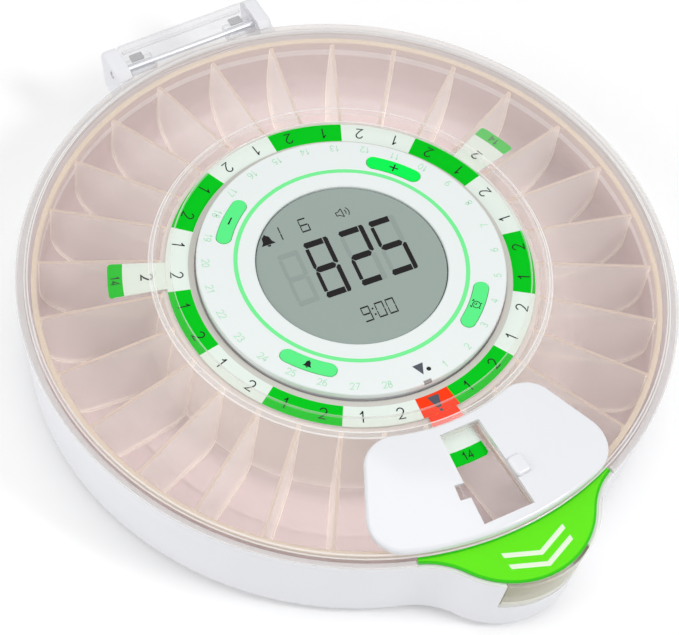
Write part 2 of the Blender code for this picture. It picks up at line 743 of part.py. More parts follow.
def hub_faceplate():
    ring_r = HUB_BORE_R - SEAT_GAP
    profile = ((DISPLAY_R, FACE_TOP_Z), (FACE_R - FACE_ROUND, FACE_TOP_Z), (FACE_R, FACE_TOP_Z - FACE_ROUND),
               (FACE_R, FACE_LOW_Z), (ring_r, FACE_LOW_Z), (ring_r, FACE_LOW_Z - FACE_RING_DEPTH),
               (ring_r - FACE_RING_WALL, FACE_LOW_Z - FACE_RING_DEPTH), (ring_r - FACE_RING_WALL, FACE_LOW_Z),
               (DISPLAY_R, FACE_LOW_Z))
    face = finish("Hub_Faceplate", turned(profile, FACE_STEPS), WHITE)
    for angle in BUTTON_ANGLES.values():
        cut(face, button_sector(math.radians(angle) + FACE_TURN, SEAT_GAP,
                                flat(FACE_LOW_Z - OVERRUN, FACE_TOP_Z + OVERRUN)))
    for angle in POST_ANGLES:
        place = spot(math.radians(angle) + FACE_TURN, POST_ORBIT).xy
        join(face, rod(POST_R, BOARD_TOP_Z + SEAT_GAP, FACE_LOW_Z + FACE_THICK / 2, PIN_STEPS, place))
        cut(face, rod(SCREW_R + SEAT_GAP, BOARD_TOP_Z - OVERRUN, FACE_LOW_Z, SCREW_STEPS, place))
    mark_half = EDGE_MARK_WIDTH / FACE_R / 2
    mark = swept(spread(START_TURN - mark_half, START_TURN + mark_half, 2),
                 lambda a: ((FACE_R - EDGE_MARK_DEPTH, FACE_TOP_Z - EDGE_MARK_DEPTH),
                            (FACE_R + OVERRUN, FACE_TOP_Z - EDGE_MARK_DEPTH),
                            (FACE_R + OVERRUN, FACE_TOP_Z + OVERRUN),
                            (FACE_R - EDGE_MARK_DEPTH, FACE_TOP_Z + OVERRUN)))
    cut(face, mark)
    lamp = spot(START_TURN + LAMP_TURN, LAMP_ORBIT).xy
    cut(face, rod(LAMP_R + SEAT_GAP, FACE_LOW_Z - OVERRUN, FACE_TOP_Z + OVERRUN, SCREW_STEPS, lamp))
    return face


def button_sector(turn, room, heights):
    """A button's long rounded plan, with room added all round."""
    half = BUTTON_WIDTH / 2 + room
    corner = half * BUTTON_CORNER_SHARE
    return sector(turn, BUTTON_SPAN + room / BUTTON_ORBIT, (BUTTON_ORBIT - half, BUTTON_ORBIT + half),
                  (corner, corner), BUTTON_COLUMNS, heights)


def buttons():
    for name, angle in BUTTON_ANGLES.items():
        turn = math.radians(angle) + FACE_TURN
        pivot = spot(turn, BUTTON_ORBIT, FACE_TOP_Z)
        flange_top = FACE_LOW_Z - SEAT_GAP
        flange_low = flange_top - BUTTON_FLANGE_THICK
        half = BUTTON_WIDTH / 2 + BUTTON_FLANGE
        flange = sector(turn, BUTTON_SPAN + BUTTON_FLANGE_SPAN, (BUTTON_ORBIT - half, BUTTON_ORBIT + half),
                        (BUTTON_FLANGE, BUTTON_FLANGE), BUTTON_COLUMNS, flat(flange_low, flange_top))
        cap = finish("Button_" + name, flange, GREEN, pivot)
        join(cap, button_sector(turn, 0.0, flat(flange_top - BUTTON_FLANGE_THICK / 2,
                                                FACE_TOP_Z + BUTTON_PROUD)))
        place = spot(turn, BUTTON_ORBIT)
        half_side = SWITCH_SIDE / 2
        low = BOARD_TOP_Z + SEAT_GAP
        switch = box((-half_side, -half_side, low), (half_side, half_side, low + SWITCH_HEIGHT))
        bmesh.ops.rotate(switch, verts=switch.verts, cent=(0, 0, 0), matrix=Matrix.Rotation(turn, 3, "Z"))
        bmesh.ops.translate(switch, verts=switch.verts, vec=place)
        finish("Key_Switch_" + name, switch, ((0.75, 0.76, 0.78), 0.4, 0.6))


def display():
    lens_top = FACE_TOP_Z - DISPLAY_RECESS
    lens_low = lens_top - LENS_THICK
    finish("Display_Lens", rod(DISPLAY_R - SEAT_GAP, lens_low, lens_top, FACE_STEPS),
           ((0.64, 0.70, 0.67), 0.05))
    panel_top = min(lens_low, FACE_LOW_Z) - SEAT_GAP
    finish("Display_Panel", rod(DISPLAY_R + PANEL_EXTRA_R, BOARD_TOP_Z + SEAT_GAP, panel_top, DISC_STEPS),
           ((0.55, 0.62, 0.58), 0.4))


def alarm_lamp():
    place = spot(START_TURN + LAMP_TURN, LAMP_ORBIT).xy
    finish("Alarm_Lamp", rod(LAMP_R, FACE_TOP_Z - LAMP_LENGTH, FACE_TOP_Z, SCREW_STEPS, place),
           ((0.05, 0.06, 0.08), 0.2))


# Circuit board, buzzer and screws

def circuit_board():
    board = finish("Circuit_Board", rod(BOARD_R, BOARD_LOW_Z, BOARD_TOP_Z, DISC_STEPS),
                   ((0.03, 0.30, 0.12), 0.5))
    for angle in POST_ANGLES:
        place = spot(math.radians(angle) + FACE_TURN, POST_ORBIT).xy
        cut(board, rod(SCREW_R + SEAT_GAP, BOARD_LOW_Z - OVERRUN, BOARD_TOP_Z + OVERRUN, SCREW_STEPS, place))
    place = spot(BUZZER_TURN, BUZZER_ORBIT).xy
    top = BOARD_LOW_Z - SEAT_GAP
    finish("Buzzer", rod(BUZZER_R, top - BUZZER_HEIGHT, top, PIN_STEPS, place), ((0.03, 0.03, 0.03), 0.5))


def screw(name, place, head_low, length):
    """A pan-head screw that points up, with its head's lower face at head_low."""
    rise = head_low + SCREW_HEAD_HEIGHT
    sections = ((SCREW_HEAD_R - SCREW_CHAMFER, head_low), (SCREW_HEAD_R, head_low + SCREW_CHAMFER),
                (SCREW_HEAD_R, rise), (SCREW_R, rise), (SCREW_R, head_low + length))
    finish(name, stepped_rod(sections, SCREW_STEPS, place), STEEL)


def screws():
    for i, angle in enumerate(COVER_SCREW_ANGLES):
        screw("Cover_Screw_%d" % (i + 1), spot(math.radians(angle), COVER_SCREW_ORBIT).xy,
              UNDERSIDE_Z + SEAT_GAP, SCREW_LENGTH - SEAT_GAP)
    for i, angle in enumerate(POST_ANGLES):
        place = spot(math.radians(angle) + FACE_TURN, POST_ORBIT).xy
        low = BOARD_LOW_Z - SEAT_GAP - SCREW_HEAD_HEIGHT
        screw("Board_Screw_%d" % (i + 1), place, low, BOARD_SCREW_LENGTH)
    screw("Door_Screw", (door_screw_x(), 0.0), UNDERSIDE_Z, SCREW_LENGTH)


# Battery bay

def door_half():
    return BAY_HALF_X + DOOR_LEDGE - SEAT_GAP, BAY_HALF_Y + DOOR_LEDGE - SEAT_GAP


def door_screw_x():
    return -(door_half()[0] + DOOR_EAR_REACH - DOOR_SCREW_IN)


def bottom_cover():
    cover = finish("Bottom_Cover", rod(HUB_BORE_R - SEAT_GAP, UNDERSIDE_Z, COVER_TOP_Z, ROUND_STEPS), WHITE)
    wall_x = BAY_HALF_X + BAY_WALL
    wall_y = BAY_HALF_Y + BAY_WALL
    inside = UNDERSIDE_Z + COVER_THICK / 2
    join(cover, box((-wall_x, -wall_y, inside), (wall_x, wall_y, SHELF_Z)))
    join(cover, rod(MOTOR_R, SHELF_Z - BAY_WALL, SHELF_Z - SEAT_GAP / 2, DISC_STEPS, (MOTOR_X, 0.0)))
    join(cover, rod(DOOR_BOSS_R, inside, COVER_TOP_Z + DOOR_BOSS_HEIGHT, PIN_STEPS, (door_screw_x(), 0.0)))
    cut(cover, box((-BAY_HALF_X, -BAY_HALF_Y, -OVERRUN), (BAY_HALF_X, BAY_HALF_Y, BAY_TOP_Z)))
    half_x, half_y = door_half()
    cut(cover, box((-half_x - SEAT_GAP, -half_y - SEAT_GAP, -OVERRUN),
                   (half_x + SEAT_GAP, half_y + SEAT_GAP, DOOR_LEDGE_Z)))
    ear = half_x + DOOR_EAR_REACH + SEAT_GAP
    cut(cover, box((-ear, -DOOR_EAR_WIDTH / 2 - SEAT_GAP, -OVERRUN),
                   (-half_x, DOOR_EAR_WIDTH / 2 + SEAT_GAP, DOOR_LEDGE_Z)))
    cut(cover, rod(SCREW_R + SEAT_GAP, -OVERRUN, UNDERSIDE_Z + SCREW_LENGTH + RUN_GAP, SCREW_STEPS,
                   (door_screw_x(), 0.0)))
    cut(cover, rod(SHAFT_R + 2 * RUN_GAP, BAY_TOP_Z - OVERRUN, SHELF_Z + OVERRUN, PIN_STEPS, (PINION_X, 0.0)))
    for angle in COVER_SCREW_ANGLES:
        place = spot(math.radians(angle), COVER_SCREW_ORBIT).xy
        cut(cover, rod(SCREW_HEAD_R + SEAT_GAP, -OVERRUN, UNDERSIDE_Z + SCREW_HEAD_HEIGHT + 2 * SEAT_GAP,
                       PIN_STEPS, place))
        cut(cover, rod(SCREW_R + SEAT_GAP, -OVERRUN, COVER_TOP_Z + OVERRUN, SCREW_STEPS, place))
    return cover


def battery_door():
    half_x, half_y = door_half()
    top = UNDERSIDE_Z + DOOR_THICK
    door = finish("Battery_Door", box((-half_x, -half_y, UNDERSIDE_Z), (half_x, half_y, top)), WHITE)
    ear = half_x + DOOR_EAR_REACH
    join(door, box((-ear, -DOOR_EAR_WIDTH / 2, UNDERSIDE_Z), (-half_x + OVERRUN, DOOR_EAR_WIDTH / 2, top)))
    for i in range(DOOR_GRIP_COUNT):
        x = half_x - DOOR_GRIP_STEP * (i + 1)
        cut(door, box((x - DOOR_GRIP_STEP / 4, -DOOR_EAR_WIDTH, -OVERRUN),
                      (x + DOOR_GRIP_STEP / 4, DOOR_EAR_WIDTH, UNDERSIDE_Z + DOOR_GRIP_DEPTH)))
    place = (door_screw_x(), 0.0)
    cut(door, rod(SCREW_HEAD_R + SEAT_GAP, -OVERRUN, UNDERSIDE_Z + SCREW_HEAD_HEIGHT + SEAT_GAP,
                  PIN_STEPS, place))
    cut(door, rod(SCREW_R + SEAT_GAP, -OVERRUN, top + OVERRUN, SCREW_STEPS, place))
    return door


def battery_cells():
    for i in range(CELL_COUNT):
        y = (i - (CELL_COUNT - 1) / 2) * CELL_PITCH
        facing = 1 if i % 2 else -1
        centre = -facing * CELL_NIPPLE / 2
        ends = sorted((centre - CELL_LENGTH / 2, centre + CELL_LENGTH / 2))
        cell = finish("Battery_Cell_%d" % (i + 1), lying_rod(CELL_R, ends[0], ends[1], y, CELL_Z),
                      ((0.10, 0.12, 0.14), 0.3, 0.5), (0.0, y, CELL_Z))
        tip = centre + facing * (CELL_LENGTH / 2 + CELL_NIPPLE)
        root = centre + facing * (CELL_LENGTH / 2 - CELL_NIPPLE)
        join(cell, lying_rod(CELL_NIPPLE_R, min(tip, root), max(tip, root), y, CELL_Z, SCREW_STEPS))
    half = CONTACT_HEIGHT / 2
    for name, side in (("Left", -1), ("Right", 1)):
        faces = sorted((side * (BAY_HALF_X - SEAT_GAP), side * (BAY_HALF_X - SEAT_GAP - CONTACT_THICK)))
        reach = BAY_HALF_Y - 2 * RUN_GAP
        plate = box((faces[0], -reach, CELL_Z - half), (faces[1], reach, CELL_Z + half))
        finish("Battery_Contact_" + name, plate, STEEL)


# Drive

def gear_teeth(count, pitch_r, inner_r, outer_r, sign, low, high, centre, first):
    """Separate trapezoid teeth round a circle; sign is 1 for teeth that point outwards."""
    shape = bmesh.new()
    pitch = 2 * math.pi * pitch_r / count
    tip_share, middle_share, root_share = TOOTH_THICK_SHARES
    for i in range(count):
        turn = first + 2 * math.pi * i / count
        radii = (inner_r, pitch_r, outer_r)
        shares = (root_share, middle_share, tip_share) if sign > 0 else (tip_share, middle_share, root_share)
        halves = [pitch * share / 2 for share in shares]
        points = [(r, -h) for r, h in zip(radii, halves)] + [(r, h) for r, h in zip(reversed(radii),
                                                                                   reversed(halves))]
        along = Vector((math.cos(turn), math.sin(turn)))
        across = Vector((-math.sin(turn), math.cos(turn)))
        outline = [Vector(centre) + along * r + across * h for r, h in points]
        shape = merged(shape, prism([(p.x, p.y) for p in outline], low, high))
    return shape


def tray_teeth():
    tip = RING_PITCH_R - TOOTH_TIP_SHARE * MODULE
    root = SKIRT_IN_R + SKIRT_THICK / 2
    first = math.pi / RING_TEETH
    return gear_teeth(RING_TEETH, RING_PITCH_R, tip, root, -1, TOOTH_LOW_Z + SEAT_GAP,
                      TOOTH_LOW_Z + TOOTH_HEIGHT, (0.0, 0.0), first)


def drive_pinion():
    root = PINION_R - TOOTH_ROOT_SHARE * MODULE
    tip = PINION_R + TOOTH_TIP_SHARE * MODULE
    low = TOOTH_LOW_Z + RUN_GAP
    high = low + PINION_HEIGHT
    centre = (PINION_X, 0.0)
    sections = ((root, low), (root, high), (PINION_SLEEVE_R, high), (PINION_SLEEVE_R, high + PINION_SLEEVE))
    pinion = finish("Drive_Pinion", stepped_rod(sections, PIN_STEPS, centre), ((0.85, 0.85, 0.82), 0.4),
                    (*centre, low))
    join(pinion, gear_teeth(PINION_TEETH, PINION_R, root - RUN_GAP, tip, 1, low + SEAT_GAP / 2,
                            high - SEAT_GAP / 2, centre, 0.0))
    cut(pinion, rod(SHAFT_R + SEAT_GAP, low - OVERRUN, high + PINION_SLEEVE + OVERRUN, SCREW_STEPS, centre))
    shaft_top = SHELF_Z + SHAFT_IN_MOTOR
    finish("Drive_Shaft", rod(SHAFT_R, low, shaft_top, SCREW_STEPS, centre), STEEL, (*centre, low))


def gear_motor():
    low = SHELF_Z + SEAT_GAP
    motor = finish("Gear_Motor", rod(MOTOR_R, low, low + MOTOR_HEIGHT, DISC_STEPS, (MOTOR_X, 0.0)), STEEL)
    cut(motor, rod(SHAFT_R + SEAT_GAP, low - OVERRUN, low + SHAFT_IN_MOTOR, SCREW_STEPS, (PINION_X, 0.0)))


# Tray and card

def scoop(centre, radius, first, last, steps):
    return [(centre[0] + radius * math.cos(t), centre[1] + radius * math.sin(t))
            for t in spread(first, last, steps)]


def divider_z(radius):
    return DECK_Z - DIVIDER_SLOPE * (radius - NEST_TOP_R)


def tray_profile():
    """Half section of the tray: rim, scooped floor, inner wall, deck and toothed skirt."""
    outer = (TRAY_IN_R - SCOOP_R, TRAY_FLOOR_Z + SCOOP_R)
    inner = (NEST_LOW_R + TRAY_INNER_ROUND, TRAY_FLOOR_Z + TRAY_INNER_ROUND)
    wall_r = TRAY_IN_R + TRAY_WALL
    skirt_r = SKIRT_IN_R + SKIRT_THICK
    under = DECK_Z - DECK_THICK
    points = [(TRAY_RIM_R, TRAY_RIM_TOP_Z), (TRAY_RIM_R, TRAY_RIM_TOP_Z - TRAY_RIM_HEIGHT),
              (wall_r, TRAY_RIM_TOP_Z - TRAY_RIM_HEIGHT - SEAT_GAP)]
    points += scoop(outer, SCOOP_R + TRAY_WALL, 0.0, -math.pi / 2, 4)
    points += scoop(inner, TRAY_INNER_ROUND + TRAY_WALL, -math.pi / 2, -math.pi, 2)
    points += [(NEST_TOP_R - TRAY_WALL, under), (skirt_r, under), (skirt_r, TOOTH_LOW_Z),
               (SKIRT_IN_R, TOOTH_LOW_Z), (SKIRT_IN_R, under), (DECK_IN_R, under), (DECK_IN_R, DECK_Z),
               (NEST_TOP_R, DECK_Z)]
    points += scoop(inner, TRAY_INNER_ROUND, -math.pi, -math.pi / 2, 2)
    points += scoop(outer, SCOOP_R, -math.pi / 2, 0.0, 4)
    points += [(TRAY_IN_R, TRAY_RIM_TOP_Z - SEAT_GAP), (TRAY_IN_R + SEAT_GAP, TRAY_RIM_TOP_Z)]
    return points


def divider(turn):
    """A thin wall between two compartments, rooted in the middle of the tray's walls."""
    half = TRAY_WALL / 2
    outer = (TRAY_IN_R - SCOOP_R, TRAY_FLOOR_Z + SCOOP_R)
    inner = (NEST_LOW_R + TRAY_INNER_ROUND, TRAY_FLOOR_Z + TRAY_INNER_ROUND)
    profile = [(NEST_TOP_R - half, DECK_Z - SEAT_GAP / 2), (TRAY_IN_R + half, divider_z(TRAY_IN_R))]
    profile += scoop(outer, SCOOP_R + half, 0.0, -math.pi / 2, 4)
    profile += scoop(inner, TRAY_INNER_ROUND + half, -math.pi / 2, -math.pi, 2)
    across = Vector((math.cos(turn), math.sin(turn), 0.0)) * (DIVIDER_THICK / 2)
    middle = [spot(turn, r, z) for r, z in profile]
    return loop_solid([[p - across for p in middle], [p + across for p in middle]], False)


def pill_tray():
    tray = finish("Pill_Tray", turned(tray_profile()), PALE)
    walls = bmesh.new()
    for i in range(POSITIONS):
        walls = merged(walls, divider(START_TURN + (i + 0.5) * POSITION_TURN))
    join(tray, walls)
    join(tray, tray_teeth())
    return tray


def dosage_ring():
    top = CARD_LOW_Z + CARD_THICK
    profile = ((CARD_IN_R, top), (CARD_OUT_R, top), (CARD_OUT_R, CARD_LOW_Z), (CARD_IN_R, CARD_LOW_Z))
    card = finish("Dosage_Ring", turned(profile), ((0.90, 0.94, 0.92), 0.5))

    def tab_z(radius):
        low = min(CARD_LOW_Z, divider_z(radius) + SEAT_GAP) + SEAT_GAP / 3
        return low, low + CARD_THICK - 2 * SEAT_GAP / 3

    for place in CARD_TAB_POSITIONS:
        turn = START_TURN + place * POSITION_TURN

        def section(angle, middle=turn):
            side = (CARD_TAB_SPAN - abs(angle - middle)) * CARD_TAB_R
            end = CARD_TAB_R - corner_inset(side, CARD_TAB_CORNER)
            root = CARD_OUT_R - DIVIDER_THICK
            radii = (root, NEST_TOP_R, end)
            return [(r, tab_z(r)[0]) for r in radii] + [(r, tab_z(r)[1]) for r in reversed(radii)]

        edge = CARD_TAB_CORNER / CARD_TAB_R
        offsets = [-CARD_TAB_SPAN, -CARD_TAB_SPAN + edge / 3, -CARD_TAB_SPAN + edge]
        angles = offsets + [0.0] + [-a for a in reversed(offsets)]
        join(card, swept([turn + a for a in angles], section))
    return card


# Lid, label, window cover and shutter

def lid_shell():
    drop = LID_THICK
    rings = [circle_ring(LID_HOLE_R, COLLAR_TOP_Z - drop),
             circle_ring(COLLAR_TOP_R - drop / 2, COLLAR_TOP_Z - drop),
             circle_ring(CONE_IN_R - drop / 4, CONE_IN_Z - drop),
             circle_ring(STEP_TOP_R - drop, cone_z(STEP_TOP_R) - drop),
             circle_ring(STEP_FOOT_R - drop / 2, FLANGE_Z), outline_ring(FLANGE_ROUND, FLANGE_Z),
             outline_ring(0.0, FLANGE_Z + FLANGE_ROUND), outline_ring(0.0, FLANGE_TOP_Z - FLANGE_ROUND),
             outline_ring(FLANGE_ROUND, FLANGE_TOP_Z), circle_ring(STEP_FOOT_R, FLANGE_TOP_Z),
             circle_ring(STEP_TOP_R, STEP_TOP_Z), circle_ring(CONE_IN_R, CONE_IN_Z),
             circle_ring(COLLAR_TOP_R + FLANGE_ROUND, COLLAR_TOP_Z - FLANGE_ROUND),
             circle_ring(COLLAR_TOP_R - FLANGE_ROUND, COLLAR_TOP_Z),
             circle_ring(LID_HOLE_R + FLANGE_ROUND, COLLAR_TOP_Z),
             circle_ring(LID_HOLE_R, COLLAR_TOP_Z - FLANGE_ROUND)]
    lid = finish("Lid_Shell", loop_solid(rings, True), CLEAR, (0.0, HINGE_Y, HINGE_Z))
    inside = FLANGE_Z + FLANGE_THICK / 2
    join(lid, nose_strip(LABEL_SPAN, 0.0, 0.0, TAB_BORDER, NOSE_TOP_Z + SEAT_GAP, inside, LABEL_STEPS))
    top = base_inset(inside)
    join(lid, nose_strip(TONGUE_SPAN, base_inset(TONGUE_LOW_Z), top, TONGUE_THICK, TONGUE_LOW_Z, inside))
    add_leaf(lid)
    window = window_points(LID_WINDOW_SLOP)
    cut(lid, prism(window, FLANGE_TOP_Z - OVERRUN, CONE_IN_Z + OVERRUN))
    return lid


def leaf_half():
    return EAR_IN_X - SEAT_GAP


def add_leaf(lid):
    """The lid's rear leaf, with the two knuckles that the hinge rod runs through."""
    half = leaf_half()
    back = EAR_BACK_Y - LEAF_BACK
    corner = EAR_ROUND / 2
    plan = [(-half, LEAF_FRONT_Y), (half, LEAF_FRONT_Y), (half, back - corner), (half - corner, back),
            (-half + corner, back), (-half, back - corner)]
    low = LEAF_TOP_Z - LEAF_THICK + SEAT_GAP / 2
    join(lid, prism(plan, low, LEAF_TOP_Z - SEAT_GAP / 2))
    rib_low = low - LEAF_RIB
    join(lid, box((-half + corner, back - corner - LEAF_RIB, rib_low),
                  (half - corner, back - corner, LEAF_TOP_Z - LEAF_THICK / 2)))
    for side in (-1, 1):
        ends = sorted((side * half, side * (half - KNUCKLE_WIDTH)))
        join(lid, lying_rod(KNUCKLE_R, ends[0] + SEAT_GAP / 2, ends[1] - SEAT_GAP / 2, HINGE_Y, HINGE_Z))
    reach = half + OVERRUN
    cut(lid, lying_rod(ROD_R + ROD_BORE, -reach, reach, HINGE_Y, HINGE_Z))


def hinge_rod():
    half = EAR_IN_X + EAR_WIDTH - SEAT_GAP
    finish("Hinge_Rod", lying_rod(ROD_R, -half, half, HINGE_Y, HINGE_Z), STEEL)


def open_label():
    outer = TAB_BORDER + SEAT_GAP
    top = FLANGE_Z - SEAT_GAP
    span = LABEL_SPAN - SEAT_GAP / LID_R
    label = swept(spread(-span, span, LABEL_STEPS),
                  lambda a: ((LABEL_IN_R, top - LABEL_THICK), (outline_r(a, outer), top - LABEL_THICK),
                             (outline_r(a, outer), top), (LABEL_IN_R, top)))
    made = finish("Open_Label", label, ((0.30, 0.85, 0.02), 0.4), (0.0, HINGE_Y, HINGE_Z))
    cut(made, nose_strip(TONGUE_SPAN + NOTCH_SIDE, base_inset(top), base_inset(top), TONGUE_THICK + RUN_GAP,
                         top - OVERRUN, top + OVERRUN))
    return made


def window_points(room):
    """The dispensing window's plan, turned to the start position."""
    corners = ((-WINDOW_IN_HALF - room, WINDOW_IN_R - room), (WINDOW_IN_HALF + room, WINDOW_IN_R - room),
               (WINDOW_OUT_HALF + room, WINDOW_OUT_R + room), (-WINDOW_OUT_HALF - room, WINDOW_OUT_R + room))
    return [place_at_start(x, r) for x, r in corners]


def place_at_start(x, reach):
    point = Matrix.Rotation(START_TURN, 2) @ Vector((x, -reach))
    return point.x, point.y


def knob_turn():
    """The knob's place on the shutter, from the shutter's middle."""
    return -SHUTTER_SPAN + KNOB_SPAN


def window_cover():
    gap = SEAT_GAP
    plate = sector(START_TURN, COVER_SPAN, (COVER_IN_R, COVER_OUT_R), (COVER_IN_CORNER, COVER_OUT_CORNER),
                   COVER_COLUMNS, on_cone(gap, gap + COVER_PLATE))
    bevel_top(plate, COVER_EDGE)
    cover = finish("Window_Cover", plate, WHITE, (0.0, HINGE_Y, HINGE_Z))
    room_low = -SHUTTER_SPAN - SHUTTER_SIDE
    room_high = SHUTTER_TURN + SHUTTER_SPAN + SHUTTER_SIDE
    middle = START_TURN + (room_low + room_high) / 2
    half = (room_high - room_low) / 2
    radii = (SHUTTER_IN_R - RUN_GAP, SHUTTER_OUT_R + RUN_GAP)
    cut(cover, swept(spread(middle - half, middle + half, SHUTTER_COLUMNS),
                     lambda a: [(r, cone_z(r) - OVERRUN) for r in radii]
                     + [(r, cone_z(r) + gap + SHUTTER_THICK + gap) for r in reversed(radii)]))
    cut(cover, prism(window_points(0.0), FLANGE_TOP_Z, COLLAR_TOP_Z + COVER_PLATE + OVERRUN))
    knob_low = knob_turn() - KNOB_SPAN - KNOB_ROOM / KNOB_IN_R
    knob_high = SHUTTER_TURN + knob_turn() + KNOB_SPAN + KNOB_ROOM / KNOB_IN_R
    notch_radii = (KNOB_IN_R - KNOB_ROOM, KNOB_OUT_R + KNOB_ROOM)
    cut(cover, swept(spread(START_TURN + knob_low, START_TURN + knob_high, SHUTTER_COLUMNS),
                     lambda a: [(r, cone_z(r) - OVERRUN) for r in notch_radii]
                     + [(r, cone_z(r) + COVER_PLATE + OVERRUN) for r in reversed(notch_radii)]))
    return cover


def bevel_top(shape, width):
    """Rounds the edges where a plate's top meets its sides."""
    bmesh.ops.recalc_face_normals(shape, faces=shape.faces)
    shape.normal_update()
    rim = [e for e in shape.edges if len(e.link_faces) == 2
           and max(f.normal.z for f in e.link_faces) > FACES_UP_SHARE
           and min(f.normal.z for f in e.link_faces) < FACES_OUT_SHARE]
    bmesh.ops.bevel(shape, geom=rim, offset=width, segments=2, profile=0.5, affect="EDGES")


def window_shutter():
    """The thin door under the window cover, stored open beside the window."""
    turn = START_TURN + SHUTTER_TURN
    low = SEAT_GAP
    radii = (SHUTTER_IN_R, SHUTTER_OUT_R)
    plate = swept(spread(turn - SHUTTER_SPAN, turn + SHUTTER_SPAN, SHUTTER_COLUMNS),
                  lambda a: [(r, cone_z(r) + low) for r in radii]
                  + [(r, cone_z(r) + low + SHUTTER_THICK) for r in reversed(radii)])
    shutter = finish("Window_Shutter", plate, WHITE)
    place = turn + knob_turn()
    knob_radii = (KNOB_IN_R, KNOB_OUT_R)
    top = SEAT_GAP + COVER_PLATE + KNOB_RISE
    knob = swept(spread(place - KNOB_SPAN * KNOB_LEAN_SHARE, place + KNOB_SPAN, 2),
                 lambda a: [(r, cone_z(r) + low + SHUTTER_THICK / 2) for r in knob_radii]
                 + [(r, cone_z(r) + top) for r in reversed(knob_radii)])
    bevel_top(knob, KNOB_ROOM)
    join(shutter, knob)
    return shutter


# Feet

def feet():
    for i, angle in enumerate(FOOT_ANGLES):
        place = spot(math.radians(angle), FOOT_ORBIT)
        finish("Foot_%d" % (i + 1), rod(FOOT_R, 0.0, FOOT_THICK, PIN_STEPS, place.xy),
               ((0.20, 0.20, 0.21), 0.8))


def centre_outline():
    for made in bpy.data.objects:
        made.location.y += HUB_Y


def main():
    clear_scene()
    base_shell()
    hub_faceplate()
    buttons()
    display()
    alarm_lamp()
    circuit_board()
    screws()
    bottom_cover()
    battery_door()
    battery_cells()
    drive_pinion()
    gear_motor()
    pill_tray()
    dosage_ring()
    lid_shell()
    hinge_rod()
    open_label()
    window_cover()
    window_shutter()
    feet()
    centre_outline()


main()
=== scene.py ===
"""Looks of the electronic pill box: finishes, printed marks, fine forms, light and camera.

Metres, +Z up. The nose points to -Y and the lid's hinge is at +Y. Pieces are drawn round the tray's
turning axis and then moved to HUB, its place in the model's frame. Angles round the box are measured
from -Y, positive towards +X.
"""

from math import acos, asin, atan, atan2, cos, hypot, pi, radians, remainder, sin, sqrt

import bmesh
import bpy
from mathutils import Matrix, Vector

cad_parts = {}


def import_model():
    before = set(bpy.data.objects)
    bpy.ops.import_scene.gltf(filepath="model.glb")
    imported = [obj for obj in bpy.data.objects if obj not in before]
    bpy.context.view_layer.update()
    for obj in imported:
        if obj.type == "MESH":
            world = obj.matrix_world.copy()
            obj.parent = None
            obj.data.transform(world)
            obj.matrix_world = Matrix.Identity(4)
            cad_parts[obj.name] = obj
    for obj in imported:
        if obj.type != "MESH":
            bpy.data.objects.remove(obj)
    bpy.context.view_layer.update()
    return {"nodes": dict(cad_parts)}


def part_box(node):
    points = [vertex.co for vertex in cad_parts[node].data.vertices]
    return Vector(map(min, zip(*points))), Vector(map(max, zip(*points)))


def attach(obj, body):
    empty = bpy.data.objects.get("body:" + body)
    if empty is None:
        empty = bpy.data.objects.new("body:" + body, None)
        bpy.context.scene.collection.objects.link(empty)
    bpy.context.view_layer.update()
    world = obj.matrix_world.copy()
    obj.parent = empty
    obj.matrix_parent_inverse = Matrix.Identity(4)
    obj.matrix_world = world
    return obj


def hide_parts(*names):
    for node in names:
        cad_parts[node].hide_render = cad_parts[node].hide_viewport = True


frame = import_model()


face_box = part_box("Hub_Faceplate")
HUB = Vector(((face_box[0][0] + face_box[1][0]) / 2, (face_box[0][1] + face_box[1][1]) / 2, 0.0))


def low(node):
    return Vector(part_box(node)[0]) - HUB


def high(node):
    return Vector(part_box(node)[1]) - HUB


# Clearances and fineness
SEAT_GAP = 0.0003
RUN_GAP = 0.0005
OVERRUN = 0.002
PRINT = 0.00004
QUARTER = pi / 2
RING_STEPS = 232
NOSE_SPAN = radians(24)
NOSE_STEPS = 64
PIN_STEPS = 40
SMOOTH_ANGLE = radians(35)
BEVEL_ANGLE = radians(40)
TOP_TILT = 0.8                          # least upward share of the normal of a plate's top
SIDE_TILT = 0.5                         # and the greatest of its sides
COVER_STEPS = 48
BUTTON_STEPS = 20
SLOT_STEPS = 24

# Sizes read from the frame
LID_R = high("Lid_Shell").x
FACE_R = high("Hub_Faceplate").x
FACE_TOP_Z = high("Hub_Faceplate").z
UNDERSIDE_Z = low("Base_Shell").z
BASE_TOP_Z = high("Open_Label").z
DECK_Z = high("Pill_Tray").z
TRAY_LOW_Z = low("Pill_Tray").z
TRAY_RIM_R = high("Pill_Tray").x
LENS_TOP_Z = high("Display_Lens").z
LENS_LOW_Z = low("Display_Lens").z
COLLAR_TOP_Z = high("Lid_Shell").z
HINGE_Y = (low("Hinge_Rod").y + high("Hinge_Rod").y) / 2
HINGE_Z = (low("Hinge_Rod").z + high("Hinge_Rod").z) / 2
HINGE_HALF = high("Hinge_Rod").x

# Positions round the box
POSITIONS = 29
POSITION_TURN = 2 * pi / POSITIONS
START_TURN = radians(-2.1)
FACE_TURN = radians(-4.6)

# Plan with the nose
NOSE_R = 0.0280
NOSE_CENTRE = LID_R - 0.0130
BLEND_R = 0.0220

